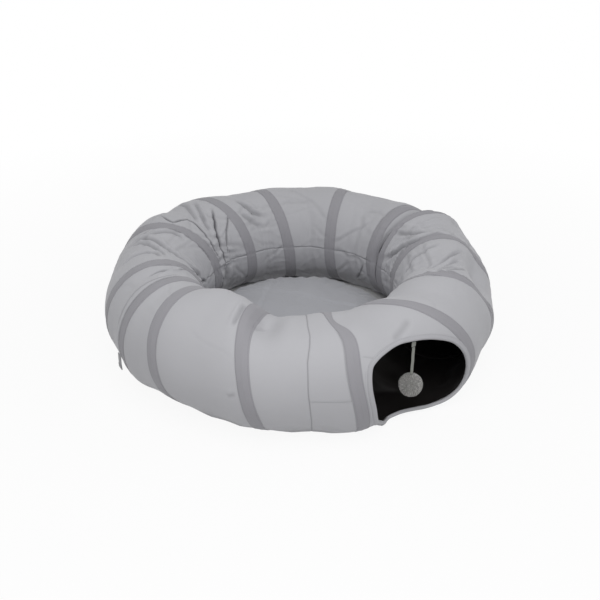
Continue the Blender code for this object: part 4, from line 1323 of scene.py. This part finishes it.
def makeElastic():
    tangent, outwards = ringAxes(toy["ringAngle"])
    top, foot = (np.array([*toy["centre"][:2], height])
                 for height in (boxes["toy_elastic"][1][2] - 0.001, boxes["toy_ball"][1][2] - 0.0012))
    path = []
    for share in np.linspace(0, 1, toy["elasticPoints"]):
        bow = 0.0006 * sin(pi * share) + 0.0003 * sin(5 * pi * share)
        path.append(top + (foot - top) * share + outwards * bow)
    obj = ribbon("toy_elastic_band", path, tangent * toy["elasticWidth"] / 2, toy["elasticThickness"], "elastic",
                 "elastic_braid", None, ("toy_elastic",))
    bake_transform(obj)


def makeTab():
    # a loop of webbing, flat and doubled, with a row of stitches across it
    tangent, outwards = ringAxes(toy["ringAngle"])
    low, high = boxes["toy_tab"]
    up = np.array([0.0, 0.0, 1.0])
    middle = boxes["toy_tab"].mean(0) * (1, 1, 0)
    top, foot, gap = high[2] - 0.0002, low[2] + 0.0010, toy["tabGap"]
    path = [middle + outwards * gap + up * z for z in np.linspace(top, foot, 8)]
    for turn in np.linspace(0, pi, 7)[1:-1]:
        path.append(middle + outwards * gap * cos(turn) + up * (foot - gap * 1.6 * sin(turn)))
    path += [middle - outwards * gap + up * z for z in np.linspace(foot, top, 8)]
    ribbon("toy_tab_loop", path, tangent * toy["tabWidth"] / 2, toy["tabThickness"], "elastic", "strap_webbing",
           "toy_tab", ("toy_tab",), crown=0.0)
    points, faces = [], []
    row = middle + outwards * (gap + 0.00036) + up * (top - 0.0045)
    for k in range(toy["tabStitches"]):
        spot = row + tangent * (k - (toy["tabStitches"] - 1) / 2) * toy["tabStitchPitch"]
        base = len(points)
        long, thick = tangent * toy["tabStitchLength"], up * toy["tabStitchLength"] / 2
        points += [spot + offset for offset in (long, thick, -long, -thick, outwards * 0.0002, -outwards * 0.0002)]
        for corner in range(4):
            after = (corner + 1) % 4
            faces += [(base + corner, base + after, base + 4), (base + after, base + corner, base + 5)]
    stitches = meshObject("toy_tab_stitches", points, faces)
    finishObject(stitches, "darkThread", "toy_tab", slot="strap_webbing", smooth=False)


makeBall()
makeElastic()
makeTab()
print("toy made")

# tie strap on the left
strap = {"angle": radians(265.3), "width": 0.0196, "thickness": 0.0014, "turnUp": 0.010, "turnedThickness": 0.0010,
         "bow": 0.0009, "turnedAbove": 0.0012}


def makeStrap():
    tangent, outwards = ringAxes(strap["angle"])
    low, high = boxes["tie_strap"]
    middle = boxes["tie_strap"].mean(0) * (1, 1, 0)
    top, foot = high[2], low[2]

    def spotAt(z, share, above=0.0):
        return middle + (0, 0, z) + outwards * (strap["bow"] * sin(2.6 * share) + above)

    half = tangent * strap["width"] / 2
    path = [spotAt(top + (foot - top) * share, share) for share in np.linspace(0, 1, 16)]
    ribbon("tie_strap_web", path, half, strap["thickness"], "webbing", "strap_webbing", "tie_strap", ("tie_strap",))
    # its cut end is turned up and sewn down
    path = [spotAt(foot + 0.0004 + strap["turnUp"] * share, 1 - share * 0.3, strap["turnedAbove"])
            for share in np.linspace(0, 1, 6)]
    ribbon("tie_strap_turn", path, half * 0.98, strap["turnedThickness"], "webbing", "strap_webbing", "tie_strap")


makeStrap()
print("strap made")

# floor, lights and world
studio = {
    "floorSize": 14.0, "floorTone": 0.80, "floorGlow": 0.92, "glowFrom": 0.34, "whiteFrom": 0.6, "whiteOver": 1.2,
    "sky": 0.51, "aim": (0, 0, 0.1),
    # name, place, size, power and colour
    "lamps": (("keyLight", (-0.55, -0.85, 1.5), 1.3, 13.0, (1.0, 1.0, 1.0)),
              ("fillLight", (1.3, -1.0, 1.4), 1.2, 1.4, (0.97, 0.985, 1.0))),
}


def whiteShare(nodes):
    # 1 for what the camera, gloss and glass see, so that the backdrop is white and the light stays plain
    seen, glossy, passed = nodes.node("ShaderNodeLightPath",
                                      output=("Is Camera Ray", "Is Glossy Ray", "Is Transmission Ray"))
    return (seen + glossy + passed).clamped()


def makeStudio():
    half = studio["floorSize"]
    floor = meshObject("studioFloor", [(-half, -half, 0), (half, -half, 0), (half, half, 0), (-half, half, 0)],
                       [(0, 1, 2, 3)])
    paint = Finish("studioPaint", Roughness=0.9, Specular_IOR_Level=0.1)
    level = studio["floorTone"]
    paint.shader.inputs["Base Color"].default_value = (level, level, level, 1)
    glow = paint.node("ShaderNodeEmission", Color=(1.0, 1.0, 1.0, 1.0), Strength=1.0)
    x, y, _ = paint.split(paint.place())
    away = (x * x + y * y) ** 0.5
    outside = paint.node("ShaderNodeMath", {"operation": "GREATER_THAN"}, i0=away, i1=studio["glowFrom"])
    faded = ((away - studio["whiteFrom"]) / studio["whiteOver"]).clamped()
    share = whiteShare(paint) * outside * (faded * (1 - studio["floorGlow"]) + studio["floorGlow"])
    mix = paint.node("ShaderNodeMixShader", i0=share, i1=Sock(paint.tree, paint.shader.outputs[0]), i2=glow)
    plug(paint.tree, paint.tree.nodes["Material Output"].inputs["Surface"], mix)
    floor.data.materials.append(paint.material)
    floor.location.z = -0.0002
    world = bpy.data.worlds.new("studioWorld")
    bpy.context.scene.world = world
    world.use_nodes = True
    air = Nodes(world.node_tree)
    background = air.tree.nodes["Background"]
    background.inputs["Color"].default_value = (1, 1, 1, 1)
    plug(air.tree, background.inputs["Strength"], whiteShare(air) * (1 - studio["sky"]) + studio["sky"])
    for name, place, size, power, colour in studio["lamps"]:
        data = bpy.data.lights.new(name, "AREA")
        data.shape, data.size, data.energy, data.color = "DISK", size, power, colour
        lamp = placed(name, data)
        lamp.location = place
        lamp.rotation_euler = (Vector(studio["aim"]) - Vector(place)).to_track_quat("-Z", "Y").to_euler()
    bpy.context.scene.view_settings.view_transform = "Standard"


makeStudio()
print("studio made")
